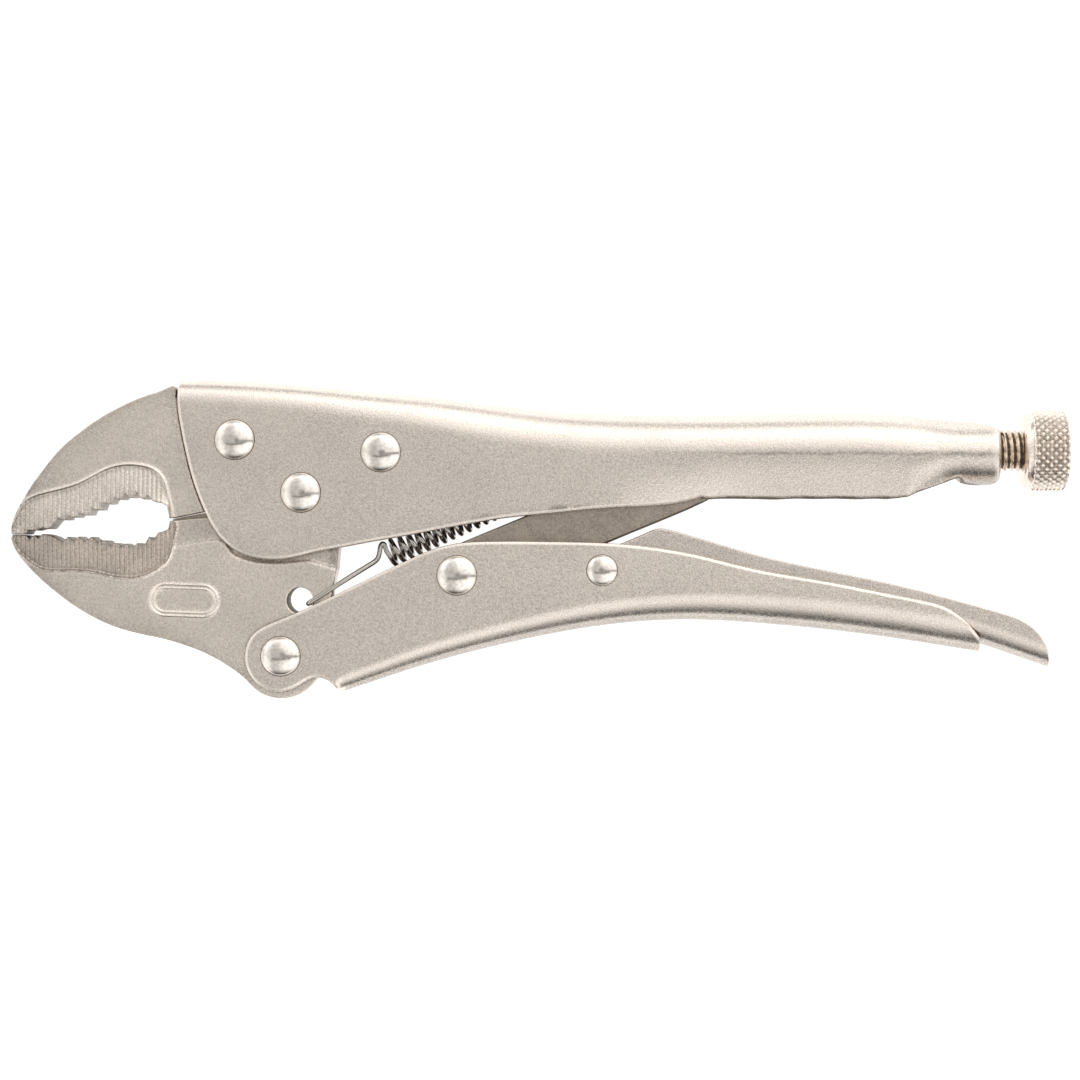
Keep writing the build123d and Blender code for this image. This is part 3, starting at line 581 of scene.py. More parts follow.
def tube(name, path, radius, mat, n=14, cap=True):
    """Round wire along a path of points (mm)."""
    p = np.asarray(path, float)
    t = np.gradient(p, axis=0)
    t /= np.linalg.norm(t, axis=1, keepdims=True)
    u = np.cross(t[0], [0.2, 0.3, 1.0])
    u /= np.linalg.norm(u)
    verts = []
    th = np.linspace(0, 2 * np.pi, n, endpoint=False)
    for i in range(len(p)):
        u = u - t[i] * np.dot(u, t[i])
        u /= np.linalg.norm(u)
        w = np.cross(t[i], u)
        r = radius
        for a in th:
            verts.append(p[i] + (u * math.cos(a) + w * math.sin(a)) * r)
    faces = []
    for i in range(len(p) - 1):
        for k in range(n):
            j = (k + 1) % n
            faces.append((i * n + k, i * n + j, (i + 1) * n + j, (i + 1) * n + k))
    if cap:
        faces.append(tuple(range(n))[::-1])
        faces.append(tuple(range((len(p) - 1) * n, len(p) * n)))
    return new_object(name, verts, faces, mat, sharp=50)


# ---------------------------------------------------------------------------
# materials
# ---------------------------------------------------------------------------
def node(nt, kind, **inputs):
    n = nt.nodes.new(kind)
    for k, v in inputs.items():
        key = k.replace("_", " ")
        if key in n.inputs:
            n.inputs[key].default_value = v
        else:
            setattr(n, k, v)
    return n


def plated(name, colour, colour2, rough=(0.21, 0.32), grain=0.00036, bump=0.36, blotch=0.35,
           streak=None, dark=None, metallic=1.0):
    """Satin plated steel: fine sand grain in the bump, roughness and colour."""
    m = bpy.data.materials.new(name)
    m.use_nodes = True
    nt = m.node_tree
    nt.nodes.clear()
    out = node(nt, "ShaderNodeOutputMaterial")
    bsdf = node(nt, "ShaderNodeBsdfPrincipled")
    bsdf.inputs["Metallic"].default_value = metallic
    bsdf.inputs["IOR"].default_value = 1.45
    nt.links.new(bsdf.outputs["BSDF"], out.inputs["Surface"])
    tc = node(nt, "ShaderNodeTexCoord")
    src = tc.outputs["Object"]
    fine = node(nt, "ShaderNodeTexNoise")
    fine.inputs["Scale"].default_value = 1.0 / grain
    fine.inputs["Detail"].default_value = 1.6
    fine.inputs["Roughness"].default_value = 0.62
    nt.links.new(src, fine.inputs["Vector"])
    pits = node(nt, "ShaderNodeTexNoise")
    pits.inputs["Scale"].default_value = 0.55 / grain
    pits.inputs["Detail"].default_value = 2.0
    nt.links.new(src, pits.inputs["Vector"])
    big = node(nt, "ShaderNodeTexNoise")
    big.inputs["Scale"].default_value = 46.0
    big.inputs["Detail"].default_value = 3.0
    nt.links.new(src, big.inputs["Vector"])
    # colour: grain speckle over a slow warm and cool drift
    ramp = node(nt, "ShaderNodeValToRGB")
    ramp.color_ramp.elements[0].position = 0.38
    ramp.color_ramp.elements[0].color = (*[c * 0.80 for c in colour], 1)
    ramp.color_ramp.elements[1].position = 0.60
    ramp.color_ramp.elements[1].color = (*colour, 1)
    nt.links.new(fine.outputs["Fac"], ramp.inputs["Fac"])
    mix = node(nt, "ShaderNodeMix")
    mix.data_type = "RGBA"
    mix.inputs[7].default_value = (*colour2, 1)
    drift = node(nt, "ShaderNodeMapRange")
    drift.inputs["From Min"].default_value = 0.35
    drift.inputs["From Max"].default_value = 0.68
    drift.inputs["To Max"].default_value = blotch
    nt.links.new(big.outputs["Fac"], drift.inputs["Value"])
    nt.links.new(drift.outputs["Result"], mix.inputs["Factor"])
    nt.links.new(ramp.outputs["Color"], mix.inputs[6])
    # dirt, wear and painted shade, where the piece carries it
    wear_shade_attr = node(nt, "ShaderNodeAttribute")
    wear_shade_attr.attribute_name = "wear_and_shade"
    speck = node(nt, "ShaderNodeMapRange")
    speck.inputs["From Min"].default_value = 0.34
    speck.inputs["From Max"].default_value = 0.66
    speck.inputs["To Min"].default_value = 1.35
    speck.inputs["To Max"].default_value = 0.65
    nt.links.new(fine.outputs["Fac"], speck.inputs["Value"])
    dirt_and_shade = node(nt, "ShaderNodeMath")
    dirt_and_shade.operation = "MULTIPLY"
    dirt_and_shade.use_clamp = True
    nt.links.new(wear_shade_attr.outputs["Fac"], dirt_and_shade.inputs[0])
    nt.links.new(speck.outputs["Result"], dirt_and_shade.inputs[1])
    dull_and_shade = node(nt, "ShaderNodeMix")
    dull_and_shade.data_type = "RGBA"
    dull_and_shade.inputs[7].default_value = (*[c * 0.10 for c in colour2], 1)
    nt.links.new(dirt_and_shade.outputs["Value"], dull_and_shade.inputs["Factor"])
    nt.links.new(mix.outputs[2], dull_and_shade.inputs[6])
    nt.links.new(dull_and_shade.outputs[2], bsdf.inputs["Base Color"])
    # roughness
    rr = node(nt, "ShaderNodeMapRange")
    rr.inputs["From Min"].default_value = 0.3
    rr.inputs["From Max"].default_value = 0.7
    rr.inputs["To Min"].default_value = rough[0]
    rr.inputs["To Max"].default_value = rough[1]
    nt.links.new(pits.outputs["Fac"], rr.inputs["Value"])
    nt.links.new(rr.outputs["Result"], bsdf.inputs["Roughness"])
    # bump: sand grain, shallow pits and, where asked, drawing streaks along X
    add = node(nt, "ShaderNodeMath")
    add.operation = "MULTIPLY_ADD"
    add.inputs[1].default_value = 0.4
    nt.links.new(pits.outputs["Fac"], add.inputs[0])
    nt.links.new(fine.outputs["Fac"], add.inputs[2])
    height = add.outputs["Value"]
    if streak:
        mp = node(nt, "ShaderNodeMapping")
        mp.inputs["Scale"].default_value = streak
        nt.links.new(src, mp.inputs["Vector"])
        st = node(nt, "ShaderNodeTexNoise")
        st.inputs["Scale"].default_value = 1.0
        st.inputs["Detail"].default_value = 2.0
        nt.links.new(mp.outputs["Vector"], st.inputs["Vector"])
        a2 = node(nt, "ShaderNodeMath")
        a2.operation = "MULTIPLY_ADD"
        a2.inputs[1].default_value = 0.6
        nt.links.new(st.outputs["Fac"], a2.inputs[0])
        nt.links.new(height, a2.inputs[2])
        height = a2.outputs["Value"]
    bp = node(nt, "ShaderNodeBump")
    bp.inputs["Strength"].default_value = bump
    bp.inputs["Distance"].default_value = 0.00012
    nt.links.new(height, bp.inputs["Height"])
    nt.links.new(bp.outputs["Normal"], bsdf.inputs["Normal"])
    return m


MAT_HANDLE = plated("satin_plate", (0.90, 0.815, 0.74), (0.84, 0.755, 0.68))
MAT_JAW = plated("jaw_plate", (0.87, 0.785, 0.705), (0.68, 0.61, 0.545), rough=(0.22, 0.36), grain=0.00040, bump=0.7, blotch=0.8)
# darker copy of the jaw finish for the lower toothed band: painted shade
MAT_BAND_SHADE = plated("lower_band_painted_shade", (0.66, 0.575, 0.50), (0.52, 0.455, 0.395), rough=(0.24, 0.38), grain=0.00036, bump=0.6, blotch=0.7)
# darker finish for the link and the slot rib: painted shade where they sit between the handles
MAT_LINK_SHADE = plated("link_plate_painted_shade", (0.50, 0.43, 0.365), (0.40, 0.345, 0.29), rough=(0.26, 0.40), grain=0.0004, bump=0.6)
MAT_RIVET = plated("rivet_polish", (0.92, 0.86, 0.80), (0.87, 0.81, 0.75), rough=(0.11, 0.17), grain=0.0009, bump=0.03, blotch=0.35)
MAT_SCREW = plated("screw_steel", (0.80, 0.69, 0.58), (0.66, 0.56, 0.46), rough=(0.14, 0.24), grain=0.0005, bump=0.12)
MAT_KNOB = plated("knob_steel", (0.90, 0.81, 0.73), (0.80, 0.715, 0.635), rough=(0.12, 0.20), grain=0.0005, bump=0.12)
MAT_SPRING = plated("spring_wire", (0.50, 0.475, 0.44), (0.40, 0.38, 0.35), rough=(0.14, 0.22), grain=0.0006, bump=0.06)
# dark finish painted as shade along edges, creases and the lower teeth
MAT_EDGE_SHADE = plated("painted_edge_shade", (0.34, 0.285, 0.23), (0.24, 0.20, 0.16), rough=(0.35, 0.5), grain=0.0003, bump=0.4)
# bright, mostly diffuse finish on the fixed jaw's tooth walls: painted light
MAT_FLANK_LIT = plated("tooth_flank_painted_light", (0.90, 0.83, 0.75), (0.80, 0.74, 0.66), rough=(0.45, 0.6), grain=0.0004, bump=0.3, metallic=0.2)
# near-black finish painted as shadow at rivet rims, in the spring hole, in the thread roots and along the link's lower
# edge
MAT_DEEP_SHADOW = plated("painted_contact_shadow", (0.16, 0.13, 0.10), (0.10, 0.085, 0.07), rough=(0.45, 0.6), grain=0.0003, bump=0.3, metallic=0.6)

# ---------------------------------------------------------------------------
# upper handle
# ---------------------------------------------------------------------------
def finish_piece(ob, body, slot, *nodes):
    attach(ob, body)
    if nodes:
        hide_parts(*nodes)
    return ob


STEP = 0.5
UP_SHEET, UP_IN, UP_OUT = 2.2, 5.5, 7.7
top_c = smooth_curve(UPPER_TOP, STEP, 4.0)
front_c = smooth_curve([(-85.35, 37.57), (-85.35, 36.4)] + UPPER_FRONT, 0.35, 0.7)
bot_c = smooth_curve(UPPER_BOTTOM, 0.35, 0.35)
open_up = np.vstack([front_c, bot_c[1:]])
# the free edge ends at the neck's end, and turns up its face to the spine
rise = poly_line([tuple(open_up[-1]), (NECK_END, 25.7)], 0.4)
low_x, low_y = open_up[open_up[:, 0] > -60].T
top_x, top_y = top_c.T


def up_top(x):
    return np.interp(x, top_x, top_y)


def up_bot(x):
    return np.interp(x, low_x, low_y)


def up_slope(x):
    return np.cos(np.arctan((up_top(x + 0.6) - up_top(x - 0.6)) / 1.2))


def neck_s(x):
    return smoothstep(85.5, 97.0, x)


def up_zout(p):
    x, y = p[:, 0], p[:, 1]
    # the bend under the spine widens until the rear of the grip is round
    ry = np.interp(x, [-86, -57, -35, -14, 20, 45, 110], [5.2, 5.8, 7.0, 8.6, 9.0, 8.8, 8.8])
    rz = np.interp(x, [-86, -57, -35, -14, 20, 45, 110], [4.4, 4.7, 5.2, 6.0, 7.1, 7.55, 7.55])
    d = np.clip((up_top(x) - y) * up_slope(x), 0, None)
    u = np.clip(1 - d / ry, 0, 1)
    z = UP_OUT - rz + rz * np.sqrt(np.maximum(1 - u * u, 0))
    # below the crest the walls curl in towards their free edges
    toe = smoothstep(0, 50, x)
    low = np.clip((d - ry) / 10.0, 0, 1.6)
    z = z - toe * (1.15 * low ** 1.7) - (1 - toe) * 0.10 * low ** 2
    # swaged neck, a little fuller than its crimped lower edge
    s = neck_s(x)
    yb = np.interp(x, [85, 91, 95, 99, 103, 110], [9.6, 11.2, 12.3, 12.95, 12.7, 12.7])
    yt = np.interp(x, [85, 98, 103, 110], [29.4, 27.8, 27.75, 27.72])
    eta = np.clip((y - yb) / (yt - yb), 0, 1)
    zn = 7.42 * np.sqrt(np.maximum(1 - (2 * eta - 1) ** 2, 0))
    z = (1 - s) * z + s * zn
    # rolled end of the neck
    return z - np.where(x > 104, edge_drop(NECK_END - x, 2.0) * 0.85, 0) * np.clip(z / 3.0, 0, 1)


def up_in_bot(x):
    return up_bot(x) + (SCREW_Y - 5.05 - up_bot(x)) * neck_s(x)


def up_in_top(x):
    s = neck_s(x)
    return (up_top(x) - UP_SHEET) * (1 - s) + (SCREW_Y + 5.05) * s


def up_zin(p):
    x, y = p[:, 0], p[:, 1]
    r = np.interp(x, [-86, -40, 43, 110], [2.3, 2.5, 4.2, 4.2])
    d = np.clip((up_in_top(x) - y), 0, None)
    t = np.clip(r - d, 0, None)
    z = UP_IN - r + np.sqrt(np.maximum(r * r - t * t, 0))
    toe = smoothstep(5, 60, x)
    z = z - toe * 0.35 * np.clip((d - r) / 12.0, 0, 1.2)
    s = neck_s(x)
    yb = up_in_bot(x)
    eta = np.clip((y - yb) / np.maximum(up_in_top(x) - yb, 1e-3), 0, 1)
    zn = 5.06 * np.sqrt(np.maximum(1 - (2 * eta - 1) ** 2, 0))
    return (1 - s) * z + s * zn


neck_face = rise[1:]
open_full = np.vstack([open_up, neck_face])
in_open = open_full.copy()
# inner face: squeezed under the spine in front, and to the bore behind
m = (in_open[:, 0] < -80) & (in_open[:, 1] > 30)
in_open[m, 1] = 30 + (in_open[m, 1] - 30) * (35.42 - 30) / (37.57 - 30)
m = np.arange(len(in_open)) < len(open_up)
m &= in_open[:, 0] > 60
in_open[m, 1] = up_in_bot(in_open[m, 0])
k = np.arange(len(in_open)) >= len(open_up) - 1
f = (open_full[k, 1] - open_up[-1, 1]) / (25.7 - open_up[-1, 1])
in_open[k, 1] = SCREW_Y - 5.05 + f * 10.1
spine_up_out = top_c[::-1][1:-1]
spine_up_in = np.stack([top_c[:, 0], up_in_top(top_c[:, 0])], 1)[::-1][1:-1]


def paint(ob, mat, test):
    """A second material on the faces whose centres (mm) pass the test; here it carries painted shade and painted light.
    """
    ob.data.materials.append(mat)
    idx = len(ob.data.materials) - 1
    c = np.empty(len(ob.data.polygons) * 3)
    ob.data.polygons.foreach_get("center", c)
    hit = test(c.reshape(-1, 3) / MM)
    for f, h in zip(ob.data.polygons, hit):
        if h:
            f.material_index = idx


def wear_and_shade(ob, amount):
    """Dirt, wear and painted shade in the finish, 0 to 1 at each point: amount(points in mm)."""
    c = np.empty(len(ob.data.vertices) * 3)
    ob.data.vertices.foreach_get("co", c)
    w = np.clip(amount(c.reshape(-1, 3) / MM), 0, 1)
    at = ob.data.attributes.new("wear_and_shade", "FLOAT", "POINT")
    at.data.foreach_set("value", w.astype(np.float32))


def cloud(x, y, scale, seed=0.0):
    """Smooth uneven pattern between 0 and 1."""
    a, b = x / scale + seed, y / scale - 0.7 * seed
    v = (np.sin(1.7 * a + 1.3 * np.sin(1.1 * b)) + np.sin(2.3 * b + 1.9 * np.sin(0.8 * a) + 1.0)
         + 0.6 * np.sin(4.1 * a - 3.3 * b + 2.0))
    return np.clip(0.5 + v / 5.2, 0, 1)


def neck_rows(top_f, bot_f, x0, x1, n=26, step=0.5):
    pts = []
    for x in np.arange(x0, x1, step):
        a, b = float(bot_f(x)), float(top_f(x))
        th = np.linspace(0, np.pi, n + 1)[1:-1]
        for t in th:
            pts.append((x, a + (b - a) * (1 - math.cos(t)) / 2))
    return np.array(pts)


def shade_line_y(x):
    """Height of a dark line painted along the round of the grip, standing in for a dark reflection."""
    return 20.1 + 0.10 * np.sin(x * 0.35) + 0.06 * np.sin(x * 0.9 + 1.0)


shade_line_rows = np.array([(x, float(shade_line_y(x)) + d) for x in np.arange(26.0, 89.5, 0.55)
                      for d in (-1.0, -0.6, -0.3, -0.1, 0.1, 0.3, 0.6, 1.0)])
upper = channel(
    "upper_handle_shell", open_full, spine_up_out, spine_up_in, up_zout, up_zin, MAT_HANDLE,
    grid=0.9, e=0.24, inner_open=in_open, rim=0.26, rim_w=0.75,
    roll=(0.05, 0.2, 0.45, 0.8, 1.3, 1.9, 2.6, 3.4, 4.3, 5.3, 6.4, 7.2),
    extra_outer=np.vstack([neck_rows(up_top, up_bot, 90.0, NECK_END - 0.2), shade_line_rows]),
    extra_inner=neck_rows(up_in_top, up_in_bot, 90.0, NECK_END - 0.2),
)
low_edge = open_up[open_up[:, 0] > 36.0]


def upper_wear_and_shade(c):
    x, y = c[:, 0], c[:, 1]
    outer = c[:, 2] - MID
    outer = np.abs(outer)
    # painted reflection: a dark line along the round of the grip, with painted shade softly beside it
    line = np.exp(-((y - shade_line_y(x)) / 0.34) ** 2) * smoothstep(30, 52, x) * (1 - smoothstep(104.5, 106, x))
    soft = np.exp(-((y - shade_line_y(x) + 0.3) / 1.1) ** 2) * smoothstep(20, 60, x)
    w = 0.30 * line * (0.6 + 0.8 * cloud(x, y, 0.9)) + 0.06 * soft
    # painted shade over the lower half of the grip's rear
    w = w + smoothstep(30, 58, x) * (0.08 * (1 - smoothstep(18.5, 19.8, y)) + 0.15 * (1 - smoothstep(11, 18, y)))
    # painted shade under the swaged neck, and over its top to dim the highlight there
    neck = smoothstep(83, 93, x) * (1 - smoothstep(19.0, 21.8, y))
    w = w + 0.16 * neck + 0.16 * smoothstep(86, 93, x) * (1 - smoothstep(13.0, 15.2, y))
    w = w + 0.10 * smoothstep(84, 94, x) * smoothstep(21, 23, y)
    # scuffs over the lower edge, where the grip has rubbed
    de = seg_dist(c[:, :2], open_up)
    along = np.exp(-((x + 13.4) / 2.2) ** 2) + np.exp(-((x - 5.5) / 6.5) ** 2) * (cloud(x, y, 1.6, 2.0) > 0.45)
    w = w + 0.55 * along * np.exp(-((de - 1.05) / 0.3) ** 2) * (y < 12)
    # darker near the front and lower edges, and unevenly mottled in front
    w = w + 0.10 * np.exp(-de / 1.6) * (x < 36) * (outer > 6.0)
    w = w + 0.10 * (cloud(x, y, 7.0, 4.0) - 0.4) * (x < 40)
    return w


wear_and_shade(upper, upper_wear_and_shade)
# painted shade: a dark strip of uneven width along the grip's lower edge
paint(upper, MAT_EDGE_SHADE, lambda c: (c[:, 0] > 38.0) & (c[:, 0] < 104.0)
      & (seg_dist(c[:, :2], low_edge) < 0.16 + 0.30 * cloud(c[:, 0], c[:, 1], 2.4, 1.0)))
finish_piece(upper, "tool_frame", "plated_steel", "upper_handle")

# tab inside the handle that holds the spring's rear loop
tab = plate(
    "spring_tab",
    [poly_line([(19.6, 27.5), (19.9, 19.6), (20.3, 18.9), (21.2, 18.6), (23.9, 18.6), (24.5, 19.0),
                (24.6, 20.0), (23.3, 20.5), (23.2, 21.2), (23.6, 27.5), (19.6, 27.5)], 0.5)[:-1]],
    lambda p: np.full(len(p), 0.9), lambda p: np.full(len(p), -0.9), MAT_HANDLE, 0.8, e=0.2,
)
finish_piece(tab, "tool_frame", "plated_steel")

# ---------------------------------------------------------------------------
# lower handle
# ---------------------------------------------------------------------------
LO_SHEET, LO_IN, LO_OUT = 2.0, 6.1, 8.1
sp_lo = smooth_curve(LOWER_SPINE, STEP, 4.0)
lx, ly = sp_lo.T


def lo_bot(x):
    return np.interp(x, lx, ly)


def lo_slope(x):
    return np.cos(np.arctan((lo_bot(x + 0.6) - lo_bot(x - 0.6)) / 1.2))


def lo_zout(p):
    x, y = p[:, 0], p[:, 1]
    ry = np.interp(x, [-48, -30, 14, 62, 110], [3.8, 4.6, 6.0, 7.6, 7.6])
    rz = np.interp(x, [-48, -30, 14, 62, 110], [3.7, 4.3, 5.3, 6.4, 6.4])
    d = np.clip((y - lo_bot(x)) * lo_slope(x), 0, None)
    d = d + np.clip(lx[0] - x, 0, 99) * 1.6
    u = np.clip(1 - d / ry, 0, 1)
    z = LO_OUT - rz + rz * np.sqrt(np.maximum(1 - u * u, 0))
    return z - 0.25 * smoothstep(-30, 40, x) * np.clip((d - ry) / 12.0, 0, 1) ** 1.5


def lo_zin(p):
    x, y = p[:, 0], p[:, 1]
    r = 2.0
    d = np.clip((y - lo_bot(x) - LO_SHEET) * lo_slope(x), 0, None)
    d = d + np.clip(lx[0] - x, 0, 99) * 1.6
    t = np.clip(r - d, 0, None)
    return LO_IN - r + np.sqrt(np.maximum(r * r - t * t, 0))


open_lo = smooth_curve(
    [tuple(sp_lo[0]), (-47.72, -35.5)] + LOWER_OPEN[1:] + [tuple(sp_lo[-1])], 0.4, 0.7)
open_lo[0], open_lo[-1] = sp_lo[0], sp_lo[-1]
in_lo = open_lo.copy()
front = (open_lo[:, 1] < -33.5) & (open_lo[:, 0] > -49.0)
in_lo[front, 1] += LO_SHEET * np.clip((open_lo[front, 0] + 48.6) / 1.3, 0, 1)
rear = open_lo[:, 0] > 101
in_lo[rear, 1] += LO_SHEET * np.clip((-22.6 - open_lo[rear, 1]) / (26.58 - 22.6), 0, 1)
in_lo[0] = sp_lo[0] + [0, LO_SHEET]
in_lo[-1] = sp_lo[-1] + [0, LO_SHEET]
spine_lo_out = sp_lo[::-1][1:-1]
spine_lo_in = (sp_lo + [0, LO_SHEET])[::-1][1:-1]
lower = channel("lower_handle_shell", open_lo, spine_lo_out, spine_lo_in, lo_zout, lo_zin,
                MAT_HANDLE, grid=0.9, e=0.24, inner_open=in_lo, rim=0.22, rim_w=0.7,
                roll=(0.05, 0.2, 0.45, 0.8, 1.3, 1.9, 2.6, 3.4, 4.3, 5.3, 6.3, 7.4))


def lower_wear_and_shade(c):
    x, y = c[:, 0], c[:, 1]
    d = y - lo_bot(x)
    # painted shade along the downward-facing bend of the spine, with uneven mottling
    w = 0.34 * (1 - smoothstep(0.7, 2.0, d)) * (x > -46) + 0.10 * (1 - smoothstep(2.0, 3.6, d)) * (x > -46)
    w = w + 0.08 * (cloud(x, y, 8.0, 1.0) - 0.4)
    return w


wear_and_shade(lower, lower_wear_and_shade)
finish_piece(lower, "grip_handle", "plated_steel", "lower_handle")

# ---------------------------------------------------------------------------
# release lever
# ---------------------------------------------------------------------------
LV_SHEET, LV_OUT, LV_IN = 1.6, 5.8, 4.2
sp_lv = smooth_curve([(21.0, -13.4)] + LEVER_SPINE[2:], STEP, 1.6)
vx, vy = sp_lv.T


def lv_bot(x):
    return np.interp(x, vx, vy)


def lv_zout(p):
    x, y = p[:, 0], p[:, 1]
    ry, rz = 5.2, 4.6
    d = np.clip((y - lv_bot(x)) * 0.985, 0, None) + np.clip(vx[0] - x, 0, 99) * 1.6
    u = np.clip(1 - d / ry, 0, 1)
    return LV_OUT - rz + rz * np.sqrt(np.maximum(1 - u * u, 0))


def lv_zin(p):
    x, y = p[:, 0], p[:, 1]
    r = 1.7
    d = np.clip((y - lv_bot(x) - LV_SHEET) * 0.985, 0, None) + np.clip(vx[0] - x, 0, 99) * 1.6
    t = np.clip(r - d, 0, None)
    return LV_IN - r + np.sqrt(np.maximum(r * r - t * t, 0))


open_lv = smooth_curve(
    [tuple(sp_lv[0]), (18.0, -13.05), (15.3, -12.4)] + LEVER_OPEN + [tuple(sp_lv[-1])], 0.4, 0.5)
open_lv[0], open_lv[-1] = sp_lv[0], sp_lv[-1]
in_lv = open_lv.copy()
front = (open_lv[:, 1] < -12.0) & (open_lv[:, 0] < 21.5) & (open_lv[:, 0] > 19.0)
in_lv[front, 1] += LV_SHEET * np.clip((open_lv[front, 0] - 19.4) / 1.6, 0, 1)
rear = (open_lv[:, 0] > 116.5) & (open_lv[:, 1] < -22)
in_lv[rear, 1] += LV_SHEET * np.clip((-24.0 - open_lv[rear, 1]) / 6.25, 0, 1)
in_lv[0] = sp_lv[0] + [0, LV_SHEET]
in_lv[-1] = sp_lv[-1] + [0, LV_SHEET]
lever_bore = np.array(arc(PIV_E, 1.95, 0, 360, 28)[:-1])
lever = channel("release_lever_shell", open_lv, sp_lv[::-1][1:-1], (sp_lv + [0, LV_SHEET])[::-1][1:-1],
                lv_zout, lv_zin, MAT_HANDLE, grid=0.9, e=0.28, inner_open=in_lv,
                holes=[lever_bore], roll=(0.05, 0.2, 0.45, 0.8, 1.3, 1.9, 2.6, 3.4, 4.3, 5.2))


def lever_wear_and_shade(c):
    x, y = c[:, 0], c[:, 1]
    d = y - lv_bot(x)
    # painted shade along the downward-facing bend of the spine, a little darker above it and towards the front, with
    # uneven mottling
    return (0.34 * (1 - smoothstep(0.7, 2.0, d)) + 0.07 * smoothstep(2.0, 4.0, d)
            + 0.02 * (1 - smoothstep(60, 80, x)) + 0.06 * cloud(x, y, 5.0, 3.0))


wear_and_shade(lever, lever_wear_and_shade)
finish_piece(lever, "lever", "plated_steel", "release_lever")


# ---------------------------------------------------------------------------
# jaws
# ---------------------------------------------------------------------------
def ribs(x, pitch=1.06, sharp=2.2):
    """Vertical pressing ribs, 0 in the grooves to 1 on the crests."""
    c = 0.5 + 0.5 * np.cos(2 * np.pi * x / pitch)
    return c ** (1 / sharp)


def bump_at(d, w):
    return np.exp(-(d / w) ** 2)


def band_z(p, base, line, teeth, top, rib):
    """Extra height of the toothed band: it flares towards the teeth, behind a bead."""
    poly = np.vstack([line, teeth[::-1]])
    inb = inside(p, poly)
    db = seg_dist(p, line)
    dt = seg_dist(p, teeth)
    g = db / np.maximum(db + dt, 1e-6)
    z = np.full(len(p), base, float)
    flare = (top - base) * g - 0.30 * (1 - g)
    z = np.where(inb, base + flare * smoothstep(0.0, 0.6, db), z)
    z = z + np.where(inb, rib * (ribs(p[:, 0]) - 1.0) * smoothstep(0.55, 1.3, db), 0)
    z = z + 0.21 * bump_at(db, 0.25)
    # a shallow groove outside the bead
    z = z - np.where(~inb, 0.10 * bump_at(db - 0.95, 0.35), 0)
    return z


teeth_up = np.array(poly_line(FIXED_TEETH, 0.3))
teeth_lo = np.array(poly_line(LOWER_TEETH, 0.3))
band_up = smooth_curve(BAND_UPPER, 0.3, 0.5)
band_lo = smooth_curve(BAND_LOWER, 0.3, 0.5)

TANG_R = 11.2
tang = arc(PIV_A, TANG_R, 203, 10, 40) + [
    (-41.0, 12.4), (-33.5, 12.9), (-30.2, 16.0), (-28.9, 20.8), (-29.6, 25.5),
    (-32.0, 29.6), (-42.76, 30.6), (-52.23, 31.6), (-61.70, 32.4), (-71.18, 32.9), (-84.8, 33.2),
]
outer_fixed = smooth_curve([(-86.0, 33.3)] + FIXED_OUTER, 0.4, 0.7)
fixed_loop = np.vstack([
    poly_line(tang, 0.8)[:-1], outer_fixed[:-1],
    poly_line([tuple(outer_fixed[-1]), FIXED_TEETH[0]], 0.3)[:-1], teeth_up[:-1],
    poly_line([FIXED_TEETH[-1], (-85.17, 5.25), (-80.60, 6.20), (-78.90, 6.50), tang[0]], 0.5)[:-1],
])


def fixed_z(p):
    z = band_z(p, 5.45, band_up, teeth_up, 6.2, 0.13)
    # crevice where the handle's front edge meets the jaw
    z = z - 0.40 * bump_at(seg_dist(p, crease), 0.26)
    x, y = p[:, 0], p[:, 1]
    # the tang between the handle's walls stays flat
    return np.where(x > -84.5, np.minimum(z, 5.45), z)


crease = offset_in(front_c[front_c[:, 1] > 4.0], -0.12, False)
fixed = plate("fixed_jaw_forging", [fixed_loop], fixed_z, lambda p: -fixed_z(p), MAT_JAW, 0.8, e=0.3,
              dense=[(np.vstack([band_up, teeth_up[::-1]]), 0.1767, 0.5)],
              rows=[(band_up, (-1.1, -0.7, -0.45, -0.3, -0.15, 0.0, 0.15, 0.3, 0.5, 0.75), False),
                    (crease, (-0.5, -0.32, -0.16, 0.0, 0.16, 0.32, 0.5), False)], sharp=50)
# painted shadow in the crevice along the handle's front edge
paint(fixed, MAT_EDGE_SHADE, lambda c: seg_dist(c[:, :2], crease) < 0.2)
# painted light on the tooth walls
paint(fixed, MAT_FLANK_LIT, lambda c: seg_dist(c[:, :2], teeth_up) < 0.02)


def jaw_wear_and_shade(c, outer_line, teeth, seed):
    x, y = c[:, 0], c[:, 1]
    # darker along the outer edge; painted shadow along the teeth; darker and mottled towards the tip; mottled all over
    do = seg_dist(c[:, :2], outer_line)
    dt = seg_dist(c[:, :2], teeth)
    w = 0.22 * np.exp(-do / 1.3) * (0.4 + cloud(x, y, 2.2, seed))
    w = w + 0.20 * np.exp(-dt / 0.45) * (0.5 + cloud(x, y, 1.4, seed))
    w = w + 0.26 * (1 - smoothstep(-122, -106, x)) * cloud(x, y, 3.2, seed + 1)
    return w + 0.10 * (cloud(x, y, 6.5, seed + 2) - 0.35)


# on top of the jaw's edge and teeth marks: painted shade in the band's rib grooves and a painted shadow beside the
# handle's front edge
wear_and_shade(fixed, lambda c: jaw_wear_and_shade(c, outer_fixed, teeth_up, 0.5)
     + inside(c[:, :2], np.vstack([band_up, teeth_up[::-1]])) * (0.02 + 0.30 * (1 - ribs(c[:, 0])))
     + 0.16 * np.exp(-np.abs(seg_dist(c[:, :2], front_c) - 0.3) / 1.2) * (c[:, 0] < -60))
finish_piece(fixed, "tool_frame", "jaw_steel", "fixed_jaw")

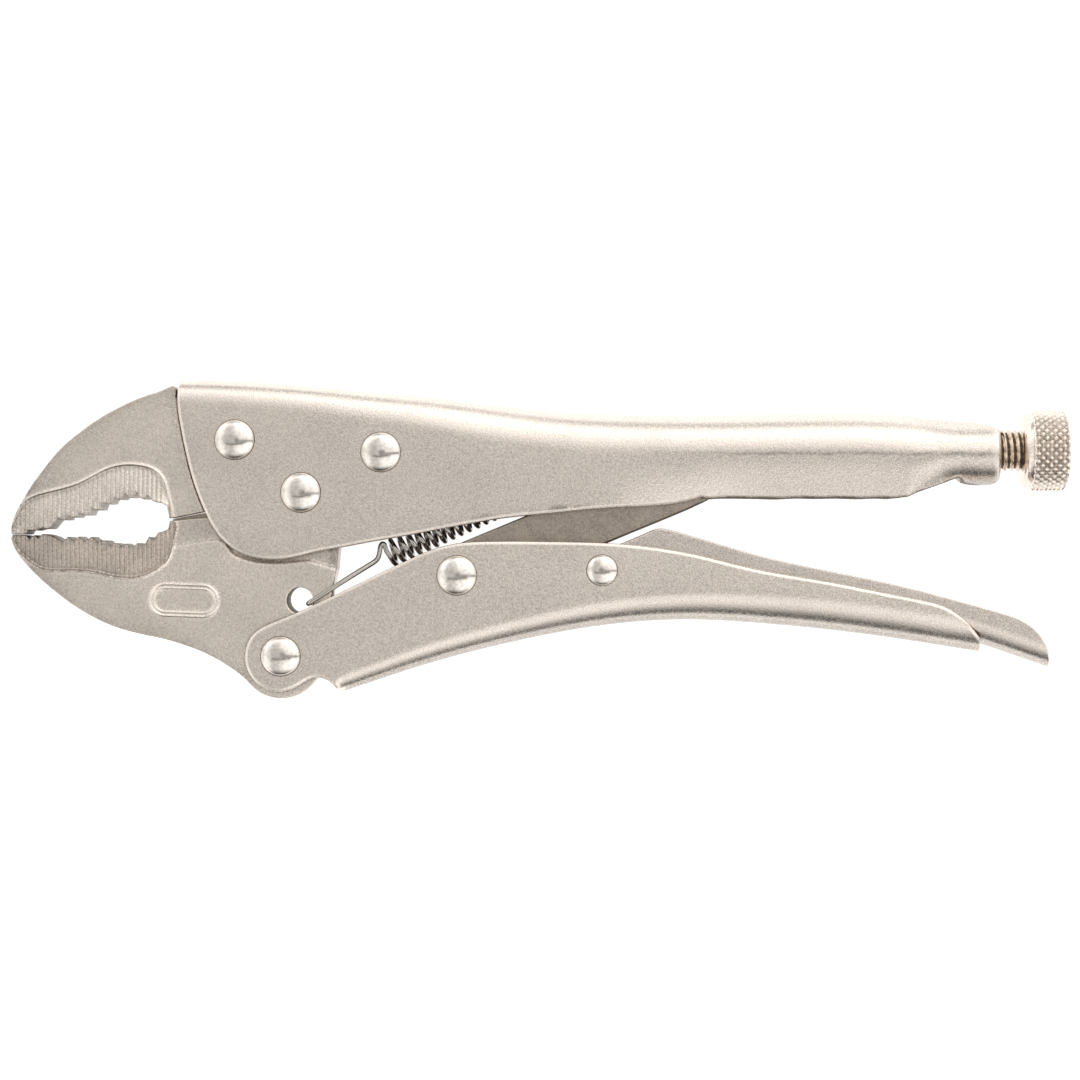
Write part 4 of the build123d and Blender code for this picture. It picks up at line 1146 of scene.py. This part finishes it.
HUB_R, LOBE_R = 10.6, 9.985
lower_front = smooth_curve(LOWER_OUTER, 0.4, 0.7)
lower_loop = np.vstack([
    teeth_lo[:-1],
    poly_line([LOWER_TEETH[-1], (-83.45, 4.63), (-78.31, 5.05), (-66.60, 6.05)], 0.5)[:-1],
    poly_line(arc(PIV_A, HUB_R, 206, -3, 60), 0.6)[:-1],
    smooth_curve([(-45.79, 10.37), (-46.6, 5.0), (-47.54, -1.43), (-47.59, -2.46), (-48.01, -6.52),
                  (-48.84, -11.11), (-50.30, -19.50), arc(PIV_B, LOBE_R, 8, -143, 18)[0]], 0.5)[:-1],
    poly_line(arc(PIV_B, LOBE_R, 8, -143, 60), 0.6)[:-1],
    lower_front[:-1],
    poly_line([tuple(lower_front[-1]), LOWER_TEETH[0]], 0.3)[:-1],
])
step_c = smooth_curve(STEP_LINE, 0.3, 0.5)
thin_poly = np.vstack([step_c, [(-36.0, -7.6), (-36.0, 30.0), (-90.0, 30.0), (-86.1, 4.0)]])
CART = (-83.96, -14.50)


def stadium(c, length, height, tilt, step):
    r = height / 2
    s = (length - height) / 2
    pts = ([(s + r * math.cos(t), r * math.sin(t)) for t in np.linspace(-math.pi / 2, math.pi / 2, 25)]
           + [(-s - r * math.cos(t), -r * math.sin(t)) for t in np.linspace(-math.pi / 2, math.pi / 2, 25)])
    a = math.radians(tilt)
    pts = [(c[0] + x * math.cos(a) - y * math.sin(a), c[1] + x * math.sin(a) + y * math.cos(a)) for x, y in pts]
    return resample(pts + pts[:1], step)[:-1]


cart_out = stadium(CART, 16.1, 7.4, -2, 0.3)
cart_in = stadium(CART, 14.4, 5.7, -2, 0.3)


def lower_base(p):
    inb = inside(p, thin_poly)
    d = seg_dist(p, step_c) * np.where(inb, 1, -1)
    return 5.85 - 0.55 * smoothstep(-0.7, 0.7, d) * (p[:, 0] > -86.9)


def lower_z(p):
    base = lower_base(p)
    z = band_z(p, 0.0, band_lo, teeth_lo, 0.5, 0.24)
    inb = inside(p, np.vstack([band_lo, teeth_lo[::-1]]))
    return np.where(inb, 5.70, base) + z


def lower_top(p):
    z = lower_z(p)
    z = z + 0.26 * bump_at(seg_dist(p, closed(cart_out)), 0.24)
    z = z + 0.20 * bump_at(seg_dist(p, closed(cart_in)), 0.22)
    return z


# head of the pivot A bore, the pivot B bore and the spring's hole
lo_holes = [np.array(arc(PIV_A, 2.55, 0, 360, 36)[:-1]), np.array(arc(PIV_B, 2.55, 0, 360, 36)[:-1]),
            np.array(arc(SPRING_HOLE, 3.1, 0, 360, 56)[:-1])]
# where the handles' edges lie over the jaw
up_edge_over_jaw = open_up[(open_up[:, 0] < -40.0) & (open_up[:, 1] < 3.6)]
lo_edge_over_jaw = open_lo[(open_lo[:, 0] < -52.0)]
lower_j = plate("lower_jaw_forging", [lower_loop] + lo_holes, lower_top, lambda p: -lower_z(p), MAT_JAW,
                0.8, e=0.3,
                dense=[(np.vstack([band_lo, teeth_lo[::-1]]), 0.1767, 0.5)],
                rows=[(band_lo, (-0.75, -0.5, -0.3, -0.15, 0.0, 0.15, 0.3, 0.45, 0.7, 1.1), False),
                      (step_c, (-0.7, -0.42, -0.2, 0.0, 0.2, 0.42, 0.7), False),
                      (up_edge_over_jaw, (-0.45, -0.2, 0.0, 0.2, 0.45), False), (lo_edge_over_jaw, (-0.45, -0.2, 0.0, 0.2, 0.45), False),
                      (cart_out, (-0.42, -0.24, -0.12, 0.0, 0.12, 0.24, 0.42), True),
                      (cart_in, (-0.36, -0.22, -0.1, 0.0, 0.1, 0.22, 0.36), True)], sharp=50)
band_poly = np.vstack([band_lo, teeth_lo[::-1]])
# painted shade: the lower toothed band takes a darker copy of the jaw finish
paint(lower_j, MAT_BAND_SHADE, lambda c: inside(c[:, :2], band_poly))
# painted shadow along the lower teeth
paint(lower_j, MAT_EDGE_SHADE, lambda c: seg_dist(c[:, :2], teeth_lo) < 0.14)
# painted shadow inside the spring hole
paint(lower_j, MAT_DEEP_SHADOW, lambda c: np.hypot(c[:, 0] - SPRING_HOLE[0], c[:, 1] - SPRING_HOLE[1]) < 3.13)


def lower_jaw_wear_and_shade(c):
    w = jaw_wear_and_shade(c, np.array(LOWER_OUTER, float), teeth_lo, 3.1)
    band = inside(c[:, :2], band_poly)
    # painted shade in the band's rib grooves (with mottling), along the step, along the handles' edges over the jaw and
    # over the thin part under the handles
    w = w + np.where(band, 0.04 + 0.14 * cloud(c[:, 0], c[:, 1], 3.0, 5.0) + 0.34 * (1 - ribs(c[:, 0])), 0)
    w = w + 0.34 * np.exp(-(seg_dist(c[:, :2], step_c) / 0.55) ** 2) * (c[:, 0] > -86.9)
    for edge_over_jaw in (up_edge_over_jaw, lo_edge_over_jaw):
        w = w + 0.42 * np.exp(-(seg_dist(c[:, :2], edge_over_jaw) / 0.34) ** 2) + 0.07 * np.exp(-seg_dist(c[:, :2], edge_over_jaw) / 1.6)
    thin = inside(c[:, :2], thin_poly)
    return w + np.where(thin & (c[:, 0] > -50), 0.20, 0) + np.where(thin, 0.13, 0)


wear_and_shade(lower_j, lower_jaw_wear_and_shade)
finish_piece(lower_j, "moving_jaw", "jaw_steel", "lower_jaw")

# low rib on the lower jaw's upper edge, deep in the slot behind the throat
# the rib takes the link's darker finish: painted shade deep in the slot
slot_rib = plate("lower_jaw_slot_rib", [poly_line([
    (-87.15, 3.9), (-79.0, 4.6), (-72.0, 5.2), (-72.0, 6.6), (-76.0, 6.25), (-78.9, 6.2), (-80.6, 5.95), (-85.17, 5.05),
    (-87.15, 4.62), (-87.15, 3.9)], 0.6)[:-1]],
    lambda p: np.full(len(p), 2.2), lambda p: np.full(len(p), -2.2), MAT_LINK_SHADE, 0.9, e=0.12)
finish_piece(slot_rib, "moving_jaw", "jaw_steel")

# ---------------------------------------------------------------------------
# toggle link
# ---------------------------------------------------------------------------
LINK_HALF, LINK_T, NOSE_R, NOSE_T = 6.7, 4.9, 4.2, 3.6
link_angle = math.atan2(PIV_D[1] - PIV_C[1], PIV_D[0] - PIV_C[0])
link_len = math.dist(PIV_C, PIV_D)


def on_link(s, t):
    c, n = math.cos(link_angle), math.sin(link_angle)
    return (PIV_C[0] + s * c - t * n, PIV_C[1] + s * n + t * c)


link_loop = smooth_curve(
    [on_link(*p) for p in arc((0, 0), LINK_HALF, 270, 90, 24)]
    + [on_link(20, LINK_HALF), on_link(40, LINK_HALF), on_link(58.0, LINK_HALF), on_link(62.5, 6.3),
       on_link(65.2, 5.2), on_link(68.0, 4.6)]
    + [on_link(link_len + p[0], p[1]) for p in arc((0, 0), NOSE_R, 85, -85, 16)]
    + [on_link(68.0, -4.6), on_link(65.2, -5.2), on_link(62.5, -6.3), on_link(58.0, -LINK_HALF),
       on_link(40, -LINK_HALF), on_link(20, -LINK_HALF), on_link(0.0, -LINK_HALF)], 0.5)[:-1]


def link_z(p):
    s = (p[:, 0] - PIV_C[0]) * math.cos(link_angle) + (p[:, 1] - PIV_C[1]) * math.sin(link_angle)
    return LINK_T - (LINK_T - NOSE_T) * smoothstep(62.0, 66.0, s)


link = plate("toggle_link_bar", [link_loop, np.array(arc(PIV_C, 2.55, 0, 360, 36)[:-1])],
             link_z, lambda p: -link_z(p), MAT_LINK_SHADE, 0.9, e=0.45)
# painted shade: a dark strip along the link's lower edge
paint(link, MAT_DEEP_SHADOW, lambda c: -(c[:, 0] - PIV_C[0]) * math.sin(link_angle)
      + (c[:, 1] - PIV_C[1]) * math.cos(link_angle) < -LINK_HALF + 0.49)
wear_and_shade(link, lambda c: 0.10 + 0.16 * cloud(c[:, 0], c[:, 1], 2.0, 1.0))
finish_piece(link, "link", "jaw_steel", "toggle_link")

# ---------------------------------------------------------------------------
# rivets
# ---------------------------------------------------------------------------
def rivet(name, centre, half, shank, head, height, body, node_name):
    """Two domed heads with a short upright rim, on a plain shank."""
    prof = [(-half - height, 0.0)]
    n = 18
    rim = 0.42
    for i in range(1, n + 1):
        a = math.pi / 2 * i / n
        prof.append((-half - rim - (height - rim) * math.cos(a) ** 1.0, head * math.sin(a) ** 0.90 * (1 - 0.012)))
    prof += [(-half - rim + 0.06, head), (-half - 0.06, head), (-half - 0.03, head + 0.17), (-half, head + 0.17),
             (-half, shank + 0.02), (-half + 0.02, shank)]
    prof = prof + [(-s, r) for s, r in prof[::-1]]
    ob = lathe(name, prof, (centre[0], centre[1], MID), (0, 0, 1), MAT_RIVET, n=72, sharp=40)
    # painted contact shadow on the upright rims and the shank
    ob.data.materials.append(MAT_DEEP_SHADOW)
    for f in ob.data.polygons:
        c = f.center
        if math.hypot(c.x / MM - centre[0], c.y / MM - centre[1]) > head - 0.02:
            f.material_index = 1
    return finish_piece(ob, body, "rivet_steel", node_name)


rivet("rivet_jaw_front", RIV_1, UP_OUT, 2.5, 4.6, 2.0, "tool_frame", "fixed_jaw_rivet_front")
rivet("rivet_jaw_rear", RIV_2, UP_OUT, 2.5, 4.6, 2.0, "tool_frame", "fixed_jaw_rivet_rear")
rivet("rivet_jaw_pivot", PIV_A, UP_OUT, 2.5, 4.6, 2.0, "tool_frame", "jaw_pivot_rivet")
rivet("rivet_handle_pivot", PIV_B, LO_OUT, 2.5, 4.6, 2.0, "grip_handle", "handle_pivot_rivet")
rivet("rivet_link_pivot", PIV_C, LO_OUT, 2.5, 4.6, 2.0, "grip_handle", "link_pivot_rivet")
rivet("rivet_lever_pivot", PIV_E, LO_OUT, 1.9, 3.55, 1.55, "grip_handle", "lever_pivot_rivet")

# ---------------------------------------------------------------------------
# adjusting screw and knob
# ---------------------------------------------------------------------------
SCREW_TIP = PIV_D[0] + NOSE_R + 2.7
PITCH = 1.5


def turned_grid(name, xs, radius, mat, n, sharp=30):
    """Structured skin about the screw's axis: radius(x, angle) for every ring, closed ends."""
    th = np.linspace(0, 2 * np.pi, n, endpoint=False)
    verts, faces = [], []
    for x in xs:
        r = radius(x, th)
        verts.append(np.c_[np.full(n, x), SCREW_Y + r * np.cos(th), MID + r * np.sin(th)])
    verts = np.vstack(verts + [[(xs[0], SCREW_Y, MID)], [(xs[-1], SCREW_Y, MID)]])
    R = len(xs)
    for i in range(R - 1):
        for k in range(n):
            j = (k + 1) % n
            faces.append((i * n + k, (i + 1) * n + k, (i + 1) * n + j, i * n + j)[::-1])
    a, b = R * n, R * n + 1
    for k in range(n):
        j = (k + 1) % n
        faces.append((a, j, k))
        faces.append((b, (R - 1) * n + k, (R - 1) * n + j))
    return new_object(name, verts, faces, mat, sharp=sharp)


T0, T1 = SCREW_TIP + 1.0, KNOB_START - 0.35
shank_x = np.r_[np.array([SCREW_TIP, SCREW_TIP + 0.15, SCREW_TIP + 0.5]), np.arange(T0, KNOB_START - 0.25, 0.12),
                [KNOB_START - 0.2]]


def shank_r(x, th):
    ph = (x / PITCH - th / (2 * np.pi)) % 1.0
    tri = np.abs(2 * ph - 1)                      # 1 on the crest, 0 in the root
    prof = np.clip((tri - 0.10) / 0.76, 0, 1)
    amount = smoothstep(SCREW_TIP + 0.6, SCREW_TIP + 1.8, x)
    core = 4.15 - 0.55 * (1 - smoothstep(SCREW_TIP - 0.2, SCREW_TIP + 1.0, x))
    return core + 0.84 * prof * amount


shank = turned_grid("screw_shank_thread", shank_x, shank_r, MAT_SCREW, 96, sharp=32)
# painted shade in the thread roots
paint(shank, MAT_DEEP_SHADOW, lambda c: np.hypot(c[:, 1] - SCREW_Y, c[:, 2] - MID) < 4.36)
finish_piece(shank, "screw", "screw_steel", "screw_shank")

KN0, KN1 = 117.95, 124.05
knob_prof = np.array([
    (114.0, 6.6), (114.05, 7.5), (114.3, 8.2), (114.7, 8.7), (115.2, 9.05), (115.7, 9.25), (116.2, 9.38),
    (116.7, 9.48), (117.2, 9.54), (118.35, 9.55),
    (121.0, 9.55), (123.2, 9.55), (123.7, 9.45), (124.1, 9.2), (124.45, 8.8), (124.7, 8.3), (124.82, 7.7),
    (124.85, 7.0), (124.85, 4.0), (124.7, 3.6), (124.7, 1.0),
])
seg = np.r_[0, np.cumsum(np.linalg.norm(np.diff(knob_prof, axis=0), axis=1))]
par = np.unique(np.r_[seg, np.arange(0, seg[-1], 0.16)])
kx = np.interp(par, seg, knob_prof[:, 0])
kr = np.interp(par, seg, knob_prof[:, 1])
KNURLS = 30


def build_knob():
    n = KNURLS * 8
    th = np.linspace(0, 2 * np.pi, n, endpoint=False)
    verts = []
    for x, r in zip(kx, kr):
        w = smoothstep(115.9, 116.7, x) * (1 - smoothstep(123.9, 124.4, x))
        lead = (x - 121.0) / 9.55 * 1.0
        a = np.abs(2 * (((th + lead) * KNURLS / (2 * np.pi)) % 1.0) - 1)
        b = np.abs(2 * (((th - lead) * KNURLS / (2 * np.pi)) % 1.0) - 1)
        cut = 0.80 * np.clip(1 - np.minimum(a, b) / 0.66, 0, 1) ** 0.9
        rr = r - w * cut * min(1.0, r / 9.0)
        verts.append(np.c_[np.full(n, x), SCREW_Y + rr * np.cos(th), MID + rr * np.sin(th)])
    R = len(kx)
    verts = np.vstack(verts + [[(kx[0], SCREW_Y, MID)], [(kx[-1], SCREW_Y, MID)]])
    faces = []
    for i in range(R - 1):
        for k in range(n):
            j = (k + 1) % n
            faces.append((i * n + j, (i + 1) * n + j, (i + 1) * n + k, i * n + k))
    a, b = R * n, R * n + 1
    for k in range(n):
        j = (k + 1) % n
        faces.append((a, j, k))
        faces.append((b, (R - 1) * n + k, (R - 1) * n + j))
    return new_object("screw_knob_knurled", verts, faces, MAT_KNOB, sharp=30)


knob = build_knob()
# painted shade in the knurl grooves, by the depth of the cut
wear_and_shade(knob, lambda c: 0.50 * smoothstep(0.25, 0.80, np.interp(c[:, 0], kx[kx < 124.84], kr[kx < 124.84])
     - np.hypot(c[:, 1] - SCREW_Y, c[:, 2] - MID)) * (c[:, 0] > 115.6) * (c[:, 0] < 124.5))
finish_piece(knob, "knob", "screw_steel", "screw_knob")

# ---------------------------------------------------------------------------
# return spring
# ---------------------------------------------------------------------------
WIRE_R, COIL_R, COIL_PITCH, COILS = 0.575, 2.775, 2.15, 23
s0 = np.array([-36.0, -3.57, MID])
sd = np.array([math.cos(math.radians(24.3)), math.sin(math.radians(24.3)), 0.0])
su = np.array([0.0, 0.0, 1.0])
sw = np.cross(sd, su)
ang = np.linspace(0, 2 * np.pi * COILS, COILS * 26 + 1)
coil = (s0 + np.outer(ang / (2 * np.pi) * COIL_PITCH, sd)
        + COIL_R * (np.outer(np.cos(ang), su) + np.outer(np.sin(ang), sw)))


def curve3(points, step):
    """Smooth curve through points in space."""
    p = np.array(points, float)
    q = np.vstack([2 * p[0] - p[1], p, 2 * p[-1] - p[-2]])
    out = []
    for i in range(1, len(q) - 2):
        p0, p1, p2, p3 = q[i - 1:i + 3]
        n = max(3, int(np.linalg.norm(p2 - p1) / step))
        t = np.linspace(0, 1, n, endpoint=False)[:, None]
        out.append(0.5 * ((2 * p1) + (p2 - p0) * t + (2 * p0 - 5 * p1 + 4 * p2 - p3) * t ** 2
                          + (3 * p1 - p0 - 3 * p2 + p3) * t ** 3))
    return np.vstack(out + [p[-1:]])


t0 = coil[0] - coil[1]
t0 = t0 / np.linalg.norm(t0)
t1 = coil[-1] - coil[-2]
t1 = t1 / np.linalg.norm(t1)
front_hook = curve3([
    (-54.75, -15.25, MID - 4.0), (-54.75, -15.25, MID + 1.0), (-54.72, -15.23, MID + 5.2),
    (-54.40, -15.02, MID + 6.45), (-53.4, -14.38, MID + 6.62), (-50.0, -12.22, MID + 6.58),
    (-46.2, -9.80, MID + 6.1), (-42.6, -7.52, MID + 5.0), (-39.4, -5.50, MID + 4.0), (-38.45, -4.55, MID + 3.75),
    (-38.05, -3.2, MID + 3.5), (-37.85, -1.9, MID + 3.3), (-37.45, -1.15, MID + 3.15), (-36.95, -1.35, MID + 3.0),
    tuple(coil[0] + t0 * 0.9), tuple(coil[0] + t0 * 0.25),
], 0.25)
rear_hook = curve3([
    tuple(coil[-1] + t1 * 0.25), tuple(coil[-1] + t1 * 1.5), (13.4, 18.4, MID + 2.0), (16.5, 19.8, MID + 1.7),
    (23.0, 21.7, MID + 1.65), (24.9, 21.95, MID + 1.0), (25.2, 22.0, MID + 0.0), (24.9, 21.95, MID - 1.0),
    (23.6, 21.8, MID - 1.65), (20.4, 21.5, MID - 1.65),
], 0.3)
spring = tube("spring_wire_coil", np.vstack([front_hook[:-1], coil, rear_hook[1:]]), WIRE_R, MAT_SPRING, n=16)
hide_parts("return_spring")
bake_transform(spring)

# ---------------------------------------------------------------------------
# floor, light and camera
# ---------------------------------------------------------------------------
floor_mat = bpy.data.materials.new("studio_floor")
floor_mat.use_nodes = True
fb = floor_mat.node_tree.nodes["Principled BSDF"]
fb.inputs["Base Color"].default_value = (0.40, 0.40, 0.40, 1)
fb.inputs["Roughness"].default_value = 0.85
fb.inputs["Emission Color"].default_value = (1, 1, 1, 1)
fb.inputs["Emission Strength"].default_value = 0.90
fme = bpy.data.meshes.new("studio_floor")
fz = -0.0004
fme.from_pydata([(-1.5, -1.5, fz), (1.5, -1.5, fz), (1.5, 1.5, fz), (-1.5, 1.5, fz)], [], [(0, 1, 2, 3)])
floor = bpy.data.objects.new("studio_floor", fme)
bpy.context.scene.collection.objects.link(floor)
fme.materials.append(floor_mat)


def area(name, loc, target, size, energy, colour=(1, 1, 1), size_y=None):
    la = bpy.data.lights.new(name, "AREA")
    la.shape = "RECTANGLE"
    la.size = size
    la.size_y = size_y or size
    la.energy = energy
    la.color = colour
    ob = bpy.data.objects.new(name, la)
    ob.location = loc
    ob.rotation_euler = (Vector(target) - Vector(loc)).to_track_quat("-Z", "Y").to_euler()
    bpy.context.scene.collection.objects.link(ob)
    return ob


area("key_top", (0.0, 1.05, 0.75), (0, 0, 0.01), 1.6, 1.1, (1.0, 0.99, 0.975), 0.6)


def direction_ramp(nt, sock, stops):
    """Grey value from one part of the direction (-1 to 1), eased between the stops."""
    mr = node(nt, "ShaderNodeMapRange")
    mr.inputs["From Min"].default_value = -1.0
    mr.inputs["From Max"].default_value = 1.0
    nt.links.new(sock, mr.inputs["Value"])
    cr = node(nt, "ShaderNodeValToRGB")
    cr.color_ramp.interpolation = "EASE"
    els = cr.color_ramp.elements
    while len(els) < len(stops):
        els.new(0.5)
    for el, (pos, v) in zip(els, stops):
        el.position = pos * 0.5 + 0.5
        el.color = (v, v, v, 1)
    nt.links.new(mr.outputs["Result"], cr.inputs["Fac"])
    return cr.outputs["Color"]


def times(nt, a, b, scale=1.0):
    m = node(nt, "ShaderNodeMath")
    m.operation = "MULTIPLY"
    nt.links.new(a, m.inputs[0])
    if b is None:
        m.inputs[1].default_value = scale
    else:
        nt.links.new(b, m.inputs[1])
    return m.outputs["Value"]


# A tent of diffusing cloth: brightest behind the spine, a softer strip in front of the
# grip, a little dimmer straight above where the lens looks through.
world = bpy.data.worlds.new("studio")
bpy.context.scene.world = world
world.use_nodes = True
wnt = world.node_tree
bg = wnt.nodes["Background"]
wtc = node(wnt, "ShaderNodeTexCoord")
sep = node(wnt, "ShaderNodeSeparateXYZ")
wnt.links.new(wtc.outputs["Generated"], sep.inputs["Vector"])
tent_y = direction_ramp(wnt, sep.outputs["Y"], [
    (-1.0, 0.02), (-0.95, 0.04), (-0.84, 0.20), (-0.62, 0.40), (-0.30, 0.42), (-0.10, 0.385), (0.05, 0.35), (0.15, 0.35),
    (0.32, 0.42), (0.55, 0.51), (0.80, 0.51), (0.92, 0.42), (0.98, 0.24)])
tent_x = direction_ramp(wnt, sep.outputs["X"], [(-0.95, 0.70), (-0.72, 0.86), (-0.56, 0.74), (-0.40, 0.48), (-0.26, 0.455), (-0.14, 0.50), (-0.06, 0.62), (0.0, 0.70), (0.06, 0.77), (0.14, 0.84), (0.6, 0.95)])
lens = direction_ramp(wnt, sep.outputs["Z"], [(0.0, 1.0), (0.994, 1.0), (0.9995, 0.25)])
# a seam of the tent and the camera's boom, seen as dark lines in the rounded steel
boom_y = direction_ramp(wnt, sep.outputs["Y"], [(-0.13, 0.0), (-0.07, 1.0), (-0.01, 1.0), (0.05, 0.0)])
boom_x = direction_ramp(wnt, sep.outputs["X"], [(0.0, 0.0), (0.14, 0.70), (0.7, 0.7)])
seam_y = direction_ramp(wnt, sep.outputs["Y"], [(-0.16, 0.0), (-0.135, 1.0), (-0.10, 1.0), (-0.075, 0.0)])
seam_x = direction_ramp(wnt, sep.outputs["X"], [(-0.45, 0.0), (-0.3, 0.85), (0.3, 0.85), (0.45, 0.0)])


def less(nt, a, b):
    """1 - a * b"""
    m = node(nt, "ShaderNodeMath")
    m.operation = "MULTIPLY"
    nt.links.new(a, m.inputs[0])
    nt.links.new(b, m.inputs[1])
    n = node(nt, "ShaderNodeMath")
    n.operation = "SUBTRACT"
    n.inputs[0].default_value = 1.0
    nt.links.new(m.outputs["Value"], n.inputs[1])
    return n.outputs["Value"]


tent = times(wnt, times(wnt, tent_y, tent_x), lens)
tent = times(wnt, tent, less(wnt, boom_y, boom_x))
tent = times(wnt, tent, less(wnt, seam_y, seam_x))
tent = times(wnt, tent, None, 3.55)
wnt.links.new(tent, bg.inputs["Strength"])
bg.inputs["Color"].default_value = (1.0, 0.99, 0.975, 1)

cam_data = bpy.data.cameras.new("camera")
cam = bpy.data.objects.new("camera", cam_data)
bpy.context.scene.collection.objects.link(cam)
cam.location = (-0.00013, -0.00025, 0.0101 + 0.700)
cam.rotation_euler = (0, 0, 0)
cam_data.sensor_width = 36.0
cam_data.lens = 36.0 * 700.0 / 256.5
cam_data.clip_start = 0.01
bpy.context.scene.camera = cam
bpy.context.scene.view_settings.view_transform = "Standard"
bpy.context.scene.view_settings.look = "None"

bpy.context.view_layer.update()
